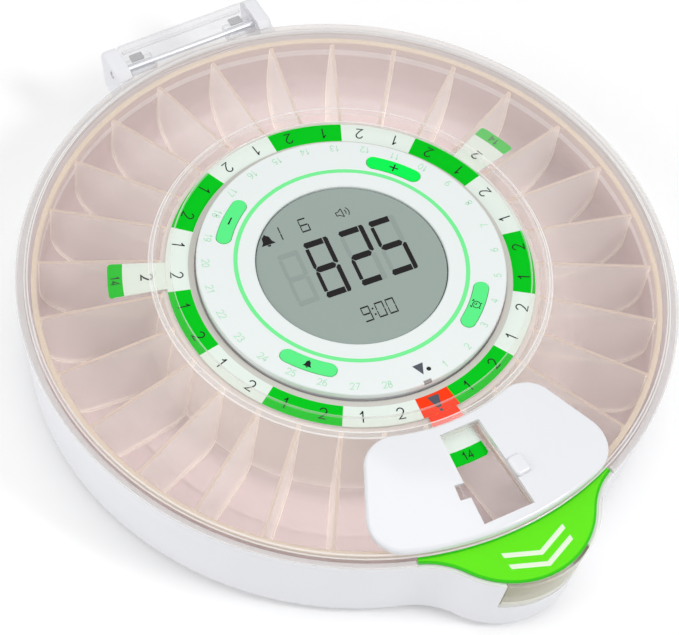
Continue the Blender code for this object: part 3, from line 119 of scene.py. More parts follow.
# Base tub
BASE_INSET = 0.0005
BASE_DRAFT = 0.0024
BASE_ROUND = 0.0040
BASE_WALL = 0.0020
FLOOR_Z = UNDERSIDE_Z + 0.0020
TROUGH_ROUND = 0.0035
RIM_ROUND = 0.0004
NOSE_TOP_Z = BASE_TOP_Z - 0.0011
NOSE_STEP_SPAN = radians(19.6)
NOSE_WALL = 0.0020
NOSE_ROOF = 0.0030
NOSE_POCKET_END = 0.0015
NOSE_RIB_SPAN = radians(0.6)
TONGUE_SPAN = radians(6.9)
TONGUE_THICK = 0.0016
TONGUE_NECK = 0.0006
TONGUE_LIP = 0.0028
TONGUE_LOW_Z = BASE_TOP_Z - 0.0151
NOTCH_LOW_Z = TONGUE_LOW_Z - 0.0015
NOTCH_SIDE = radians(0.25)
HUB_WALL_R = FACE_R - 0.0006
HUB_BORE_R = HUB_WALL_R - 0.0013
HUB_FOOT_R = HUB_WALL_R + 0.0012
HUB_BOSS_R = 0.0040
HUB_BOSS_TOP_Z = UNDERSIDE_Z + 0.0135
COVER_TOP_Z = UNDERSIDE_Z + 0.0032
COVER_SCREW_ORBIT = HUB_BORE_R - 0.0037
COVER_SCREW_ANGLES = (66, 114, -66, -114)
FOOT_R = 0.0050
FOOT_THICK = 0.0012
FOOT_ORBIT = LID_R - 0.0195
FOOT_ANGLES = (45, 135, -135, -45)

# Face, display and buttons
FACE_LOW_Z = FACE_TOP_Z - 0.0020
FACE_ROUND = 0.0006
FACE_LIP = 0.0025
FACE_LIP_THICK = 0.0010
EDGE_MARK_WIDTH = 0.0026
EDGE_MARK_DEPTH = 0.0010
BUTTON_ORBIT = FACE_R - 0.0076
BUTTON_WIDTH = 0.0046
BUTTON_SPAN = radians(12.7)
BUTTON_RISE = 0.0002
BUTTON_CORNER_SHARE = 0.98
BUTTON_ANGLES = {"Plus": 135, "Minus": -135, "Clock": 45, "Alarm": -45}
BAR_REACH = 0.0014
BAR_HALF = 0.00022
BELL_SKIRT = ((0.00135, -0.00095), (0.00085, -0.0003))
BELL_DOME = ((0.0, 0.0003), 0.00075)    # centre and radius
BELL_CLAPPER = ((0.0, -0.00105), 0.00035)
BELL_KNOB = ((0.0, 0.0011), 0.0002)
MINT_RING = (0.0348, 0.0361)
SCREEN_R = 0.0292
NUMBER_ORBIT = 0.0445
NUMBER_HEIGHT = 0.0023
NUMBER_LINE = 0.00024
FIGURE_WIDTH = 0.58
FIGURE_ADVANCE = 0.70
ARROW_BASE_R = 0.0406
ARROW_TIP_R = 0.0444
ARROW_SPAN = radians(2.5)
LAMP_TURN = radians(3.2)
LAMP_ORBIT = FACE_R - 0.0041
LAMP_R = 0.0007
LAMP_DOME = (pi / 10, pi / 2.2)

# Tray and card
TRAY_RIM_TOP_Z = BASE_TOP_Z - 0.0003
TRAY_RIM_HEIGHT = 0.0016
TRAY_IN_R = TRAY_RIM_R - 0.0018
TRAY_WALL = 0.0011
TRAY_FLOOR_Z = TRAY_LOW_Z + TRAY_WALL
TRAY_SCOOP = 0.0125
GLINT_LOW, GLINT_HIGH = 0.0062, 0.0036   # below the rim: band on the outer wall with a painted highlight
TRAY_INNER_ROUND = 0.0055
NEST_TOP_R = FACE_R + 0.0108
NEST_LOW_R = NEST_TOP_R + 0.0018
DECK_THICK = 0.0012
DECK_IN_R = FACE_R + 0.0020
DIVIDER_THICK = 0.0010
DIVIDER_OUT_Z = BASE_TOP_Z - 0.0013
DIVIDER_TURNS = [START_TURN + (i + 0.5) * POSITION_TURN for i in range(POSITIONS)]
FILLET = 0.00045
FILLET_TOP = 0.7                        # width of a fillet's upper side, as a share of its foot
DIVIDER_SLOPE = (DECK_Z - DIVIDER_OUT_Z) / (TRAY_IN_R - NEST_TOP_R)
RING_PITCH_R = HUB_FOOT_R + 0.0020
SKIRT_IN_R = RING_PITCH_R + 0.0015
SKIRT_THICK = 0.0012
TOOTH_LOW_Z = FLOOR_Z + 0.0037
TOOTH_HEIGHT = 0.0070
RING_TEETH = 58
MODULE = 2 * RING_PITCH_R / RING_TEETH
TOOTH_TIP = 0.65
TOOTH_THICK_SHARES = (0.27, 0.40, 0.53)
CARD_LOW_Z = DECK_Z + SEAT_GAP
CARD_THICK = 0.0005
CARD_TOP_Z = CARD_LOW_Z + CARD_THICK
CARD_IN_R = DECK_IN_R + SEAT_GAP
CARD_MARGIN_R = FACE_R + 0.0004         # card's grey inner band over the face's gap: painted shade
CARD_OUT_R = NEST_TOP_R - 0.0016
CARD_TAB_R = NEST_TOP_R + 0.0158
CARD_TAB_SPAN = radians(4.9)
CARD_TAB_CORNER = 0.0012
CARD_TAB_PLACES = (0, 9, -9)
CARD_BAND_R = CARD_TAB_R - 0.0045
CELL_STEPS = 8
CELL_DIGIT = (0.0038, 0.00038)          # height and line of the figures on the card
TAB_DIGIT = (0.0036, 0.0005)
TAB_COUNT = (0.0026, 0.00034)
TAB_DIGIT_ORBIT = NEST_TOP_R + 0.0040
START_TAB_RED_R = CARD_OUT_R + 0.0052
WEDGE = ((0.0019, CARD_IN_R + 0.0008), (0.0007, CARD_OUT_R - 0.0018))   # half width and orbit
DOT_ORBIT = CARD_OUT_R - 0.0008
DOT_R = 0.0005

# Lid, window cover and shutter
FLANGE_Z = BASE_TOP_Z + SEAT_GAP
FLANGE_TOP_Z = FLANGE_Z + 0.0014
FLANGE_ROUND = 0.0004
LID_THICK = 0.0016
STEEP = 0.85                            # upward share of a face's normal, here and in LINE_TILTS
LINE_TILTS = (0.05, 0.98)
LINE_HALF = FLANGE_ROUND * 0.6
STEP_FOOT_R = LID_R - 0.0027
STEP_TOP_R = STEP_FOOT_R - 0.0009
STEP_TOP_Z = FLANGE_TOP_Z + 0.0009
CONE_IN_R = FACE_R + 0.0142
CONE_IN_Z = BASE_TOP_Z + 0.0058
CONE_SLOPE = (CONE_IN_Z - STEP_TOP_Z) / (STEP_TOP_R - CONE_IN_R)
COLLAR_TOP_R = CONE_IN_R - 0.0013
LID_HOLE_R = COLLAR_TOP_R - 0.0053
TAB_BORDER = 0.0011
LABEL_THICK = 0.0007
LABEL_IN_R = LID_R - 0.0032
LABEL_EDGE = 0.0007
LABEL_SPAN = radians(19.4)
CHEVRON_REACHES = (LID_R + 0.0012, LID_R + 0.0052)
CHEVRON_HALF = 0.0105
CHEVRON_RISE = 0.0042
CHEVRON_WIDTH = 0.0016
COVER_IN_R = CONE_IN_R + 0.0007
COVER_OUT_R = LID_R - 0.0029
COVER_SPAN = radians(25.7)
COVER_IN_CORNER = 0.0090
COVER_OUT_CORNER = 0.0115
COVER_PLATE = 0.0022
COVER_EDGE = 0.0010
WINDOW_IN_R = CONE_IN_R + 0.0036
WINDOW_OUT_R = TRAY_IN_R
WINDOW_IN_HALF = 0.00655
WINDOW_OUT_HALF = 0.0084
LID_WINDOW_SLOP = 0.0004
SHUTTER_IN_R = WINDOW_IN_R - 0.0014
SHUTTER_OUT_R = WINDOW_OUT_R + 0.0014
SHUTTER_SPAN = radians(6.9)
SHUTTER_THICK = 0.0008
SHUTTER_TURN = radians(13.4)
SHUTTER_SIDE = radians(0.35)
KNOB_IN_R = 0.0816
KNOB_OUT_R = 0.0872
KNOB_SPAN = radians(0.95)
KNOB_TURN = KNOB_SPAN - SHUTTER_SPAN
KNOB_ROOM = 0.0007
STEM_RADII = (KNOB_IN_R + 0.0003, KNOB_OUT_R - 0.0010)
STEM_SHARE = 0.95
CAP_RADII = (KNOB_IN_R - 0.0013, KNOB_OUT_R - 0.0004)
CAP_TURNS = (-0.0420, 0.0190)
CAP_GAP = 0.0001
CAP_RISE = 0.0013
CAP_EDGE = CAP_RISE * 0.75

# Hinge
ROD_R = 0.0010
ROD_BORE = 0.0003
EAR_IN_X = 0.0235
EAR_WIDTH = 0.0050
EAR_BACK_Y = HINGE_Y + 0.0090
EAR_FRONT_Y = HINGE_Y - 0.0078
EAR_LEAN = 0.0007
EAR_STEP_Y = HINGE_Y - 0.0047
EAR_TOP_Z = BASE_TOP_Z + 0.0022
EAR_LOW_Z = BASE_TOP_Z - 0.0126
EAR_ROUND = 0.0030
EAR_EDGE = 0.0013
LEAF_THICK = 0.0015
LEAF_BACK = 0.0008
LEAF_FRONT_Y = HINGE_Y - 0.0075
LEAF_RIB = 0.0010
KNUCKLE_R = 0.0027
KNUCKLE_WIDTH = 0.0100
PAD_ENDS = (0.0160, 0.0205)
PAD_Y = (0.0014, 0.0042)
PAD_THICK = 0.0009

# Screws
SCREW_R = 0.0011
SCREW_HEAD_R = 0.0021
SCREW_HEAD_HEIGHT = 0.0013
RECESS_DEPTH = 0.0007
RECESS_HALF = 0.0012
RECESS_WIDTH = 0.0004
COVER_SCREW_TURNS = (17, 48, 79, 110)
DOOR_SCREW_TURN = radians(40)

# Finishes
CLOUD_SCALE = 45.0
NOISE_RANGE = (0.3, 0.7)                # where nearly all of a noise's values lie
GRAIN_DEPTH = 0.0001
STREAK_SCALE = (60.0, 2400.0, 2400.0)

# Floor and light
FLOOR_REACH = 3.0
FLOOR_WHITE = (0.985, 0.985, 0.985)
FLOOR_NEAR = 0.30
FLOOR_FAR = 1.60
FLOOR_GLOW = (0.03, 0.50)
SKY_LIGHT = 0.56
LAMPS = (("key_light", (0.50, -0.66, 0.85), 0.30, 3.5),      # name, place, width and watts
         ("side_light", (-0.94, 0.12, 0.55), 0.70, 2.6),
         ("top_light", (0.0, 0.10, 1.60), 1.20, 5.6))
CLEAR_LAYERS = 24                       # clear surfaces that a line of sight can cross

# Photograph's view
IMAGE_WIDTH = 679
VIEW_AZIMUTH = radians(-37.71)
VIEW_ELEVATION = radians(55.11)
VIEW_ROLL = radians(9.08)
VIEW_PLACE = (-0.240891, -0.309582, 0.572132)
FOCAL_PIXELS = 2179.59
SENSOR = 36.0


# Points and meshes

def spot(angle, radius, z=0.0):
    return Vector((radius * sin(angle), -radius * cos(angle), z))


def spots(angles, radius):
    return [spot(radians(angle), radius).xy for angle in angles]


def polar(point):
    """Angle round the box and radius of a point."""
    return atan2(point.x, -point.y), hypot(point.x, point.y)


def spread(first, last, count):
    return [first + (last - first) * i / count for i in range(count + 1)]


def both(span, count):
    return spread(-span, span, count)


def mirrored(side, near, far):
    """Two distances on one side of the middle, the lower value first."""
    return sorted((side * near, side * far))


def quarter(steps):
    """1 - sine and 1 - cosine at even steps of a quarter turn, for rounded edges."""
    return [(1 - sin(t), 1 - cos(t)) for t in spread(0.0, QUARTER, steps)]


def arc(centre, radius, first, last, steps):
    return [(centre[0] + radius * cos(t), centre[1] + radius * sin(t)) for t in spread(first, last, steps)]


def loop_mesh(loops, closed):
    """A solid from matching loops of points: joined end to end, or closed by a face at each end."""
    shape = bmesh.new()
    rows = [[shape.verts.new(point) for point in loop] for loop in loops]
    pairs = list(zip(rows, rows[1:]))
    if closed:
        pairs.append((rows[-1], rows[0]))
    else:
        shape.faces.new(rows[0])
        shape.faces.new(list(reversed(rows[-1])))
    for below, above in pairs:
        for i in range(len(below)):
            j = (i + 1) % len(below)
            shape.faces.new((below[i], above[i], above[j], below[j]))
    return shape


def prism(points, bottom, top):
    return loop_mesh([[Vector((x, y, z)) for x, y in points] for z in (bottom, top)], False)


def circle(radius, z, steps, centre=(0.0, 0.0)):
    turns = [2 * pi * i / steps for i in range(steps)]
    return [Vector((centre[0] + radius * cos(t), centre[1] + radius * sin(t), z)) for t in turns]


def stack(centre, rings, steps=PIN_STEPS):
    """A round upright solid from rings of radius and height."""
    return loop_mesh([circle(radius, z, steps, centre) for radius, z in rings], False)


def rod(radius, bottom, top, centre):
    return stack(centre, ((radius, bottom), (radius, top)))


def lathe(profile):
    """A ring turned from a closed profile of radius and height."""
    return loop_mesh([circle(radius, z, RING_STEPS) for radius, z in profile], True)


def swept(angles, section):
    """A solid along an arc round the box, from the section that belongs to each angle."""
    return loop_mesh([[spot(a, r, z) for r, z in section(a)] for a in angles], False)


def slab(radii, heights):
    """A section through a row of radii; heights gives its lower and upper z at a radius."""
    return [(r, heights(r)[0]) for r in radii] + [(r, heights(r)[1]) for r in reversed(radii)]


def block(angles, radii, heights):
    """A block along an arc between two radii."""
    return swept(angles, lambda angle: slab(radii, heights))


def hinge_bar(radius, ends, rounding=0.0):
    """A round bar along the hinge's axis, with its ends' edges rounded."""
    turns = [2 * pi * i / PIN_STEPS for i in range(PIN_STEPS)]
    sections = [(ends[0], radius - rounding), (ends[0] + rounding, radius),
                (ends[1] - rounding, radius), (ends[1], radius - rounding)]
    if not rounding:
        sections = [(ends[0], radius), (ends[1], radius)]
    return loop_mesh([[Vector((x, HINGE_Y + r * cos(t), HINGE_Z + r * sin(t))) for t in turns]
                      for x, r in sections], False)


def box(corner, opposite):
    plan = ((corner[0], corner[1]), (opposite[0], corner[1]), (opposite[0], opposite[1]),
            (corner[0], opposite[1]))
    return prism(plan, corner[2], opposite[2])


def merged(first, second):
    spare = bpy.data.meshes.new("spare")
    second.to_mesh(spare)
    second.free()
    first.from_mesh(spare)
    bpy.data.meshes.remove(spare)
    return first


def gathered(shapes):
    whole = bmesh.new()
    for shape in shapes:
        merged(whole, shape)
    return whole


def printed(outlines, z):
    """Marks as thin plates at a height."""
    return gathered(prism(outline, z - PRINT, z + PRINT) for outline in outlines)


def turned(shape, turn):
    bmesh.ops.rotate(shape, verts=shape.verts, cent=(0, 0, 0), matrix=Matrix.Rotation(turn, 3, "Z"))
    return shape


def shade(mesh):
    mesh.shade_smooth()
    mesh.set_sharp_from_angle(angle=SMOOTH_ANGLE)


def linked(name, data):
    made = bpy.data.objects.new(name, data)
    bpy.context.collection.objects.link(made)
    return made


def make(name, shape, *looks):
    bmesh.ops.recalc_face_normals(shape, faces=shape.faces)
    mesh = bpy.data.meshes.new(name)
    shape.to_mesh(mesh)
    shape.free()
    shade(mesh)
    for look in looks:
        mesh.materials.append(look)
    return linked(name, mesh)


def dress(made, body, slot, *nodes):
    """Puts a piece in its place, on its body, and in the stead of CAD nodes. The finish's slot it is given is
    not used.
    """
    made.data.transform(Matrix.Translation(HUB))
    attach(made, body)
    if nodes:
        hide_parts(*nodes)


def boolean(target, shape, operation):
    tool = make("tool", shape)
    step = target.modifiers.new("step", "BOOLEAN")
    step.operation = operation
    step.solver = "EXACT"
    step.object = tool
    bpy.context.view_layer.update()
    result = bpy.data.meshes.new_from_object(target.evaluated_get(bpy.context.evaluated_depsgraph_get()))
    old = target.data
    target.modifiers.clear()
    target.data = result
    bpy.data.meshes.remove(old)
    bpy.data.objects.remove(tool, do_unlink=True)
    result.name = target.name
    shade(result)


def cut(target, shape):
    boolean(target, shape, "DIFFERENCE")


def join(target, shape):
    boolean(target, shape, "UNION")


def bevelled(made, width, segments):
    """Rounds a piece's sharp edges."""
    step = made.modifiers.new("edges", "BEVEL")
    step.width = width
    step.segments = segments
    step.limit_method = "ANGLE"
    step.angle_limit = BEVEL_ANGLE
    step.harden_normals = True


def bevel_top(shape, width, segments):
    """Rounds the edges where a plate's top meets its sides."""
    bmesh.ops.recalc_face_normals(shape, faces=shape.faces)
    shape.normal_update()
    tilts = {e: sorted(f.normal.z for f in e.link_faces) for e in shape.edges if len(e.link_faces) == 2}
    rim = [e for e, (lower, upper) in tilts.items() if upper > TOP_TILT and lower < SIDE_TILT]
    bmesh.ops.bevel(shape, geom=rim, offset=width, segments=segments, profile=0.5, affect="EDGES")
    return shape


# Plan outline with the nose

def blend_centre():
    reach = LID_R + BLEND_R
    along = (reach ** 2 - (NOSE_R + BLEND_R) ** 2 + NOSE_CENTRE ** 2) / (2 * NOSE_CENTRE)
    return acos(along / reach), reach


def blend_start(inset):
    turn, reach = blend_centre()
    nose = spot(0.0, NOSE_CENTRE)
    return polar(nose + (spot(turn, reach) - nose).normalized() * (NOSE_R - inset))[0]


def outline_r(angle, inset):
    """Radius of the body's outline at an angle, drawn in by an inset."""
    turn, reach = blend_centre()
    off = abs(remainder(angle, 2 * pi))
    if off >= turn:
        return LID_R - inset
    if off <= blend_start(inset):
        across = NOSE_CENTRE * sin(off)
        return NOSE_CENTRE * cos(off) + sqrt((NOSE_R - inset) ** 2 - across ** 2)
    across = reach * sin(turn - off)
    return reach * cos(turn - off) - sqrt((BLEND_R + inset) ** 2 - across ** 2)


def nose_turn(radius, inset):
    """Angle at which the nose's curve, drawn in by an inset, is at a radius."""
    return acos((radius ** 2 + NOSE_CENTRE ** 2 - (NOSE_R - inset) ** 2) / (2 * radius * NOSE_CENTRE))


BODY_ANGLES = both(NOSE_SPAN, NOSE_STEPS)
BODY_ANGLES += spread(NOSE_SPAN, 2 * pi - NOSE_SPAN, RING_STEPS - NOSE_STEPS)[1:-1]


def outline_ring(inset, z):
    return [spot(a, outline_r(a, inset), z) for a in BODY_ANGLES]


def ring(radius, z):
    return [spot(a, radius, z) for a in BODY_ANGLES]


def nose_strip(half_span, outer_low, outer_high, thick, bottom, top, shares=(0.0, 1.0)):
    """A wall that follows the nose between two heights, with a loop at each share of its height."""
    def section(angle):
        above = outline_r(angle, outer_high)
        below = outline_r(angle, outer_low)
        outside = [(below + (above - below) * share, bottom + (top - bottom) * share) for share in shares]
        return outside + [(radius - thick, z) for radius, z in reversed(outside)]
    return swept(both(half_span, NOSE_STEPS), section)


def base_inset(z):
    return BASE_INSET + BASE_DRAFT * (BASE_TOP_Z - z) / (BASE_TOP_Z - UNDERSIDE_Z - BASE_ROUND)


# Rounded sectors and the lid's slope

def corner_inset(distance, corner):
    if distance >= corner:
        return 0.0
    return corner - sqrt(max(corner ** 2 - (corner - distance) ** 2, 0.0))


def sector_angles(span, radius, corner, columns, corner_columns):
    turn = corner / radius
    ends = [span - turn * (1 - cos(QUARTER * i / corner_columns)) for i in range(corner_columns)]
    return [-e for e in ends] + both(span - turn, columns) + list(reversed(ends))


def sector(turn, span, radii, corners, columns, heights, corner_columns=16):
    """A sector plate round the axis, with its inner and outer corners rounded by two radii."""
    limit = (radii[1] - radii[0]) / 2
    near, far = (min(corner, limit) for corner in corners)

    def section(angle):
        side = span - abs(angle - turn)
        return slab((radii[0] + corner_inset(side * radii[0], near),
                     radii[1] - corner_inset(side * radii[1], far)), heights)

    wide = min(max(near, far), span * radii[0] - SEAT_GAP / 3)
    return swept([turn + a for a in sector_angles(span, radii[0], wide, columns, corner_columns)], section)


def flat(bottom, top):
    return lambda radius: (bottom, top)


def cone_z(radius):
    return CONE_IN_Z - CONE_SLOPE * (radius - CONE_IN_R)


def on_cone(bottom, top):
    return lambda radius: (cone_z(radius) + bottom, cone_z(radius) + top)


# Materials

def feed(tree, node, sockets):
    """Sets a node's sockets to values, or links them to the outputs that feed them."""
    for name, value in sockets.items():
        if isinstance(value, bpy.types.NodeSocket):
            tree.links.new(value, node.inputs[name])
        else:
            node.inputs[name].default_value = value


def add(tree, kind, sockets, **settings):
    made = tree.nodes.new("ShaderNode" + kind)
    for name, value in settings.items():
        setattr(made, name, value)
    feed(tree, made, sockets)
    return made.outputs


def noise(tree, scale, detail=3.0):
    place = add(tree, "TexCoord", {})["Object"]
    return add(tree, "TexNoise", {"Scale": scale, "Detail": detail, "Vector": place})["Fac"]


def between(tree, value, first, last):
    """A value from 0 to 1 mapped to a range of numbers, or to a range of colours."""
    if isinstance(first, tuple):
        colours = {"A": (*first, 1.0), "B": (*last, 1.0), "Factor": value}
        return add(tree, "Mix", colours, data_type="RGBA")["Result"]
    low_end, high_end = NOISE_RANGE
    numbers = {"From Min": low_end, "From Max": high_end, "To Min": first, "To Max": last, "Value": value}
    return add(tree, "MapRange", numbers)["Result"]


def tinted(colour, share):
    return tuple(min(1.0, c * share) for c in colour)


def material(name, colour, alpha=1.0):
    made = bpy.data.materials.new(name)
    made.use_nodes = True
    made.diffuse_color = (*colour, alpha)
    return made, made.node_tree, made.node_tree.nodes["Principled BSDF"]


def texture_plastic(tree, shader, colour, roughness, mottle, grain, bump):
    """Faint clouding of a moulded colour, and a fine grain in its gloss and surface."""
    clouds = between(tree, noise(tree, CLOUD_SCALE), tinted(colour, 1 - mottle), tinted(colour, 1 + mottle))
    fine = noise(tree, grain, 2.0)
    gloss = between(tree, fine, roughness * 0.85, roughness * 1.15)
    feed(tree, shader, {"Base Color": clouds, "Roughness": gloss})
    if bump:
        raised = add(tree, "Bump", {"Strength": bump, "Distance": GRAIN_DEPTH, "Height": fine})
        feed(tree, shader, {"Normal": raised["Normal"]})


def partly_clear(tree, tint, surface, slant, least, most):
    """Lets sight through a surface, less and less as it slants away."""
    cover = add(tree, "MapRange", {"To Min": least, "To Max": most, "Value": slant})["Result"]
    clear = add(tree, "BsdfTransparent", {"Color": (*tint, 1.0)})["BSDF"]
    mix = add(tree, "MixShader", {"Fac": cover, 1: clear, 2: surface})["Shader"]
    feed(tree, tree.nodes["Material Output"], {"Surface": mix})


def plastic(name, colour, roughness, mottle=0.015, grain=1500.0, bump=0.06, shine=0.5, coat=0.0):
    made, tree, shader = material(name, colour)
    feed(tree, shader, {"Specular IOR Level": shine, "Coat Weight": coat, "Coat Roughness": 0.08})
    texture_plastic(tree, shader, colour, roughness, mottle, grain, bump)
    return made


def clear_plastic(name, colour, roughness, veil, edge, steepness=3.0, tint=(0.985, 0.975, 0.965)):
    """Thin clear plastic: a faint white veil seen face on that grows towards the edges."""
    made, tree, shader = material(name, colour, 0.3)
    texture_plastic(tree, shader, colour, roughness, 0.01, 220.0, 0.0)
    slant = add(tree, "LayerWeight", {"Blend": 0.5})["Facing"]
    rise = add(tree, "Math", {0: slant, 1: steepness}, operation="POWER")["Value"]
    partly_clear(tree, tint, shader.outputs["BSDF"], rise, veil, edge)
    return made


def frosted_plastic(name, colour, roughness, solid, glow=0.5, tint=(1.0, 1.0, 1.0)):
    """Milky plastic: part of it lets sight through, and the rest spreads light on both sides."""
    made, tree, shader = material(name, colour, solid)
    texture_plastic(tree, shader, colour, roughness, 0.03, 900.0, 0.05)
    through = add(tree, "BsdfTranslucent", {"Color": (*colour, 1.0)})["BSDF"]
    body = add(tree, "MixShader", {"Fac": glow, 1: shader.outputs["BSDF"], 2: through})["Shader"]
    slant = add(tree, "LayerWeight", {"Blend": 0.35})["Facing"]
    partly_clear(tree, tint, body, slant, solid, min(1.0, solid + 0.4))
    return made


def brushed(name, colour, roughness):
    """Drawn metal: streaks along X in the gloss."""
    made, tree, shader = material(name, colour)
    place = add(tree, "TexCoord", {})["Object"]
    stretch = add(tree, "Mapping", {"Scale": STREAK_SCALE, "Vector": place})["Vector"]
    streaks = add(tree, "TexNoise", {"Scale": 1.0, "Vector": stretch})["Fac"]
    feed(tree, shader, {"Metallic": 1.0,
                        "Base Color": between(tree, streaks, tinted(colour, 0.92), tinted(colour, 1.06)),
                        "Roughness": between(tree, streaks, roughness * 0.7, roughness * 1.3)})
    return made


def ink(name, colour, roughness, shine):
    return plastic(name, colour, roughness, bump=0.0, shine=shine)


WHITE = plastic("white_moulding", (0.82, 0.825, 0.855), 0.45, mottle=0.008, grain=260.0, bump=0.0, shine=0.35)
FACE = plastic("face_white", (0.80, 0.85, 0.84), 0.38, grain=2200.0, shine=0.3)
GLOSS_WHITE = plastic("window_white", (0.80, 0.81, 0.84), 0.14, coat=0.3, bump=0.0, shine=0.4)
CLEAR = clear_plastic("clear_lid", (0.96, 0.94, 0.925), 0.06, 0.015, 0.85)
CLEAR_TAB = clear_plastic("clear_tab", (0.97, 0.97, 0.95), 0.06, 0.006, 0.70)
CLEAR_WALL = clear_plastic("clear_wall", (0.92, 0.93, 0.92), 0.08, 0.16, 0.80, 1.8)
# whiter, more veiled clear copy on the steps' rounded edges: painted highlight lines
CLEAR_HIGHLIGHT = clear_plastic("clear_painted_highlight", (0.94, 0.93, 0.91), 0.08, 0.60, 0.90, 1.2)
# darker olive copies of the clear finish on the tongue and its lip: painted shade of the notch behind
CLEAR_TONGUE_SHADE = clear_plastic("clear_tongue_painted_shade", (0.56, 0.55, 0.44), 0.12, 0.22, 0.75, 1.5, (0.82, 0.81, 0.71))
CLEAR_LIP_SHADE = clear_plastic("clear_lip_painted_shade", (0.84, 0.83, 0.76), 0.12, 0.30, 0.75, 1.5, (0.93, 0.92, 0.87))
CLEAR_FLANGE = clear_plastic("clear_flange", (0.90, 0.89, 0.88), 0.10, 0.05, 0.80, 2.0, (0.905, 0.885, 0.875))
CLEAR_LEAF = clear_plastic("clear_leaf", (0.80, 0.80, 0.82), 0.10, 0.07, 0.75, 1.6, (0.955, 0.955, 0.96))
CLEAR_PAD = clear_plastic("clear_pad", (0.50, 0.50, 0.51), 0.12, 0.45, 0.85, 1.4, (0.80, 0.80, 0.80))
TRAY = frosted_plastic("tray_frosted", (0.91, 0.84, 0.83), 0.32, 0.42, tint=(0.93, 0.885, 0.885))
# a darker copy of the tray finish for the upper scoop and outer wall: painted shade
TRAY_SHADE = frosted_plastic("tray_painted_shade", (0.90, 0.82, 0.81), 0.32, 0.45, tint=(0.86, 0.80, 0.80))
# a whiter, more solid copy of the tray finish: painted highlight band on the outer wall
TRAY_PAINTED_GLINT = frosted_plastic("tray_painted_glint", (1.00, 0.99, 0.985), 0.26, 0.75, tint=(0.96, 0.94, 0.94))
# whiter, more solid tray copy for deck, skirt and inner wall; painted light on the inner wall
TRAY_DECK = frosted_plastic("tray_deck", (0.96, 0.91, 0.89), 0.32, 0.75, 0.3)
TRAY_RIM = frosted_plastic("tray_rim", (0.89, 0.79, 0.66), 0.30, 0.75, 0.2)
TRAY_WALLS = frosted_plastic("divider_frosted", (0.98, 0.95, 0.945), 0.22, 0.20)
TRAY_EDGES = frosted_plastic("divider_edge", (0.86, 0.75, 0.66), 0.22, 0.80)
TRAY_LINES = frosted_plastic("divider_line", (0.99, 0.95, 0.91), 0.22, 0.80)
CARD_WHITE = plastic("card_white", (0.78, 0.86, 0.80), 0.45, grain=3000.0, shine=0.2)
# warm grey for the card's inner band over the gap round the face: painted shade
CARD_SHADE_BAND = plastic("card_painted_shade", (0.61, 0.595, 0.55), 0.45, grain=3000.0, shine=0.2)
CARD_GREEN = plastic("card_green", (0.0, 0.56, 0.012), 0.40, grain=3000.0, shine=0.05)
CARD_RED = plastic("card_red", (0.95, 0.045, 0.004), 0.40, grain=3000.0, shine=0.1)
INK = ink("dark_ink", (0.012, 0.014, 0.016), 0.5, 0.1)
SOFT_INK = ink("slate_ink", (0.09, 0.10, 0.125), 0.5, 0.1)
EDGE_GREY = plastic("edge_grey", (0.33, 0.31, 0.30), 0.5, grain=2600.0, shine=0.2)
PALE_GREEN = ink("pale_green_ink", (0.42, 0.76, 0.52), 0.5, 0.2)
MINT = ink("mint_ink", (0.18, 0.86, 0.30), 0.45, 0.2)
BUTTON = plastic("button_green", (0.10, 0.86, 0.24), 0.42, grain=2600.0, shine=0.2)
BRIGHT_BUTTON = plastic("button_bright_green", (0.001, 0.90, 0.085), 0.42, grain=2600.0, shine=0.08)
LABEL_GREEN = plastic("label_green", (0.13, 0.85, 0.001), 0.30, mottle=0.04, shine=0.08)
LABEL_DEEP = plastic("label_deep_green", (0.03, 0.62, 0.001), 0.30, mottle=0.04, shine=0.08)
LABEL_MARK = ink("label_mark", (0.84, 0.93, 0.80), 0.35, 0.5)
SCREEN = plastic("screen_grey", (0.31, 0.375, 0.345), 0.22, mottle=0.02, bump=0.0, shine=0.35)
SEGMENT = ink("segment_dark", (0.014, 0.012, 0.013), 0.35, 0.1)
GHOST = ink("segment_faint", (0.27, 0.325, 0.30), 0.35, 0.3)
LAMP = ink("lamp_dark", (0.012, 0.014, 0.018), 0.2, 0.2)
STEEL = brushed("steel", (0.62, 0.63, 0.65), 0.22)
PIN_STEEL = brushed("pin_steel", (0.84, 0.85, 0.87), 0.42)
RUBBER = plastic("foot_rubber", (0.035, 0.035, 0.037), 0.80, mottle=0.10, grain=1200.0, bump=0.25)
BOARD = plastic("board_green", (0.012, 0.12, 0.045), 0.45, mottle=0.12, grain=1800.0, bump=0.15)
DARK = plastic("black_plastic", (0.02, 0.02, 0.021), 0.45)
CELL = plastic("cell_wrap", (0.03, 0.035, 0.045), 0.28, mottle=0.08, coat=0.4)
NATURAL = plastic("gear_plastic", (0.72, 0.71, 0.65), 0.42)


# Base

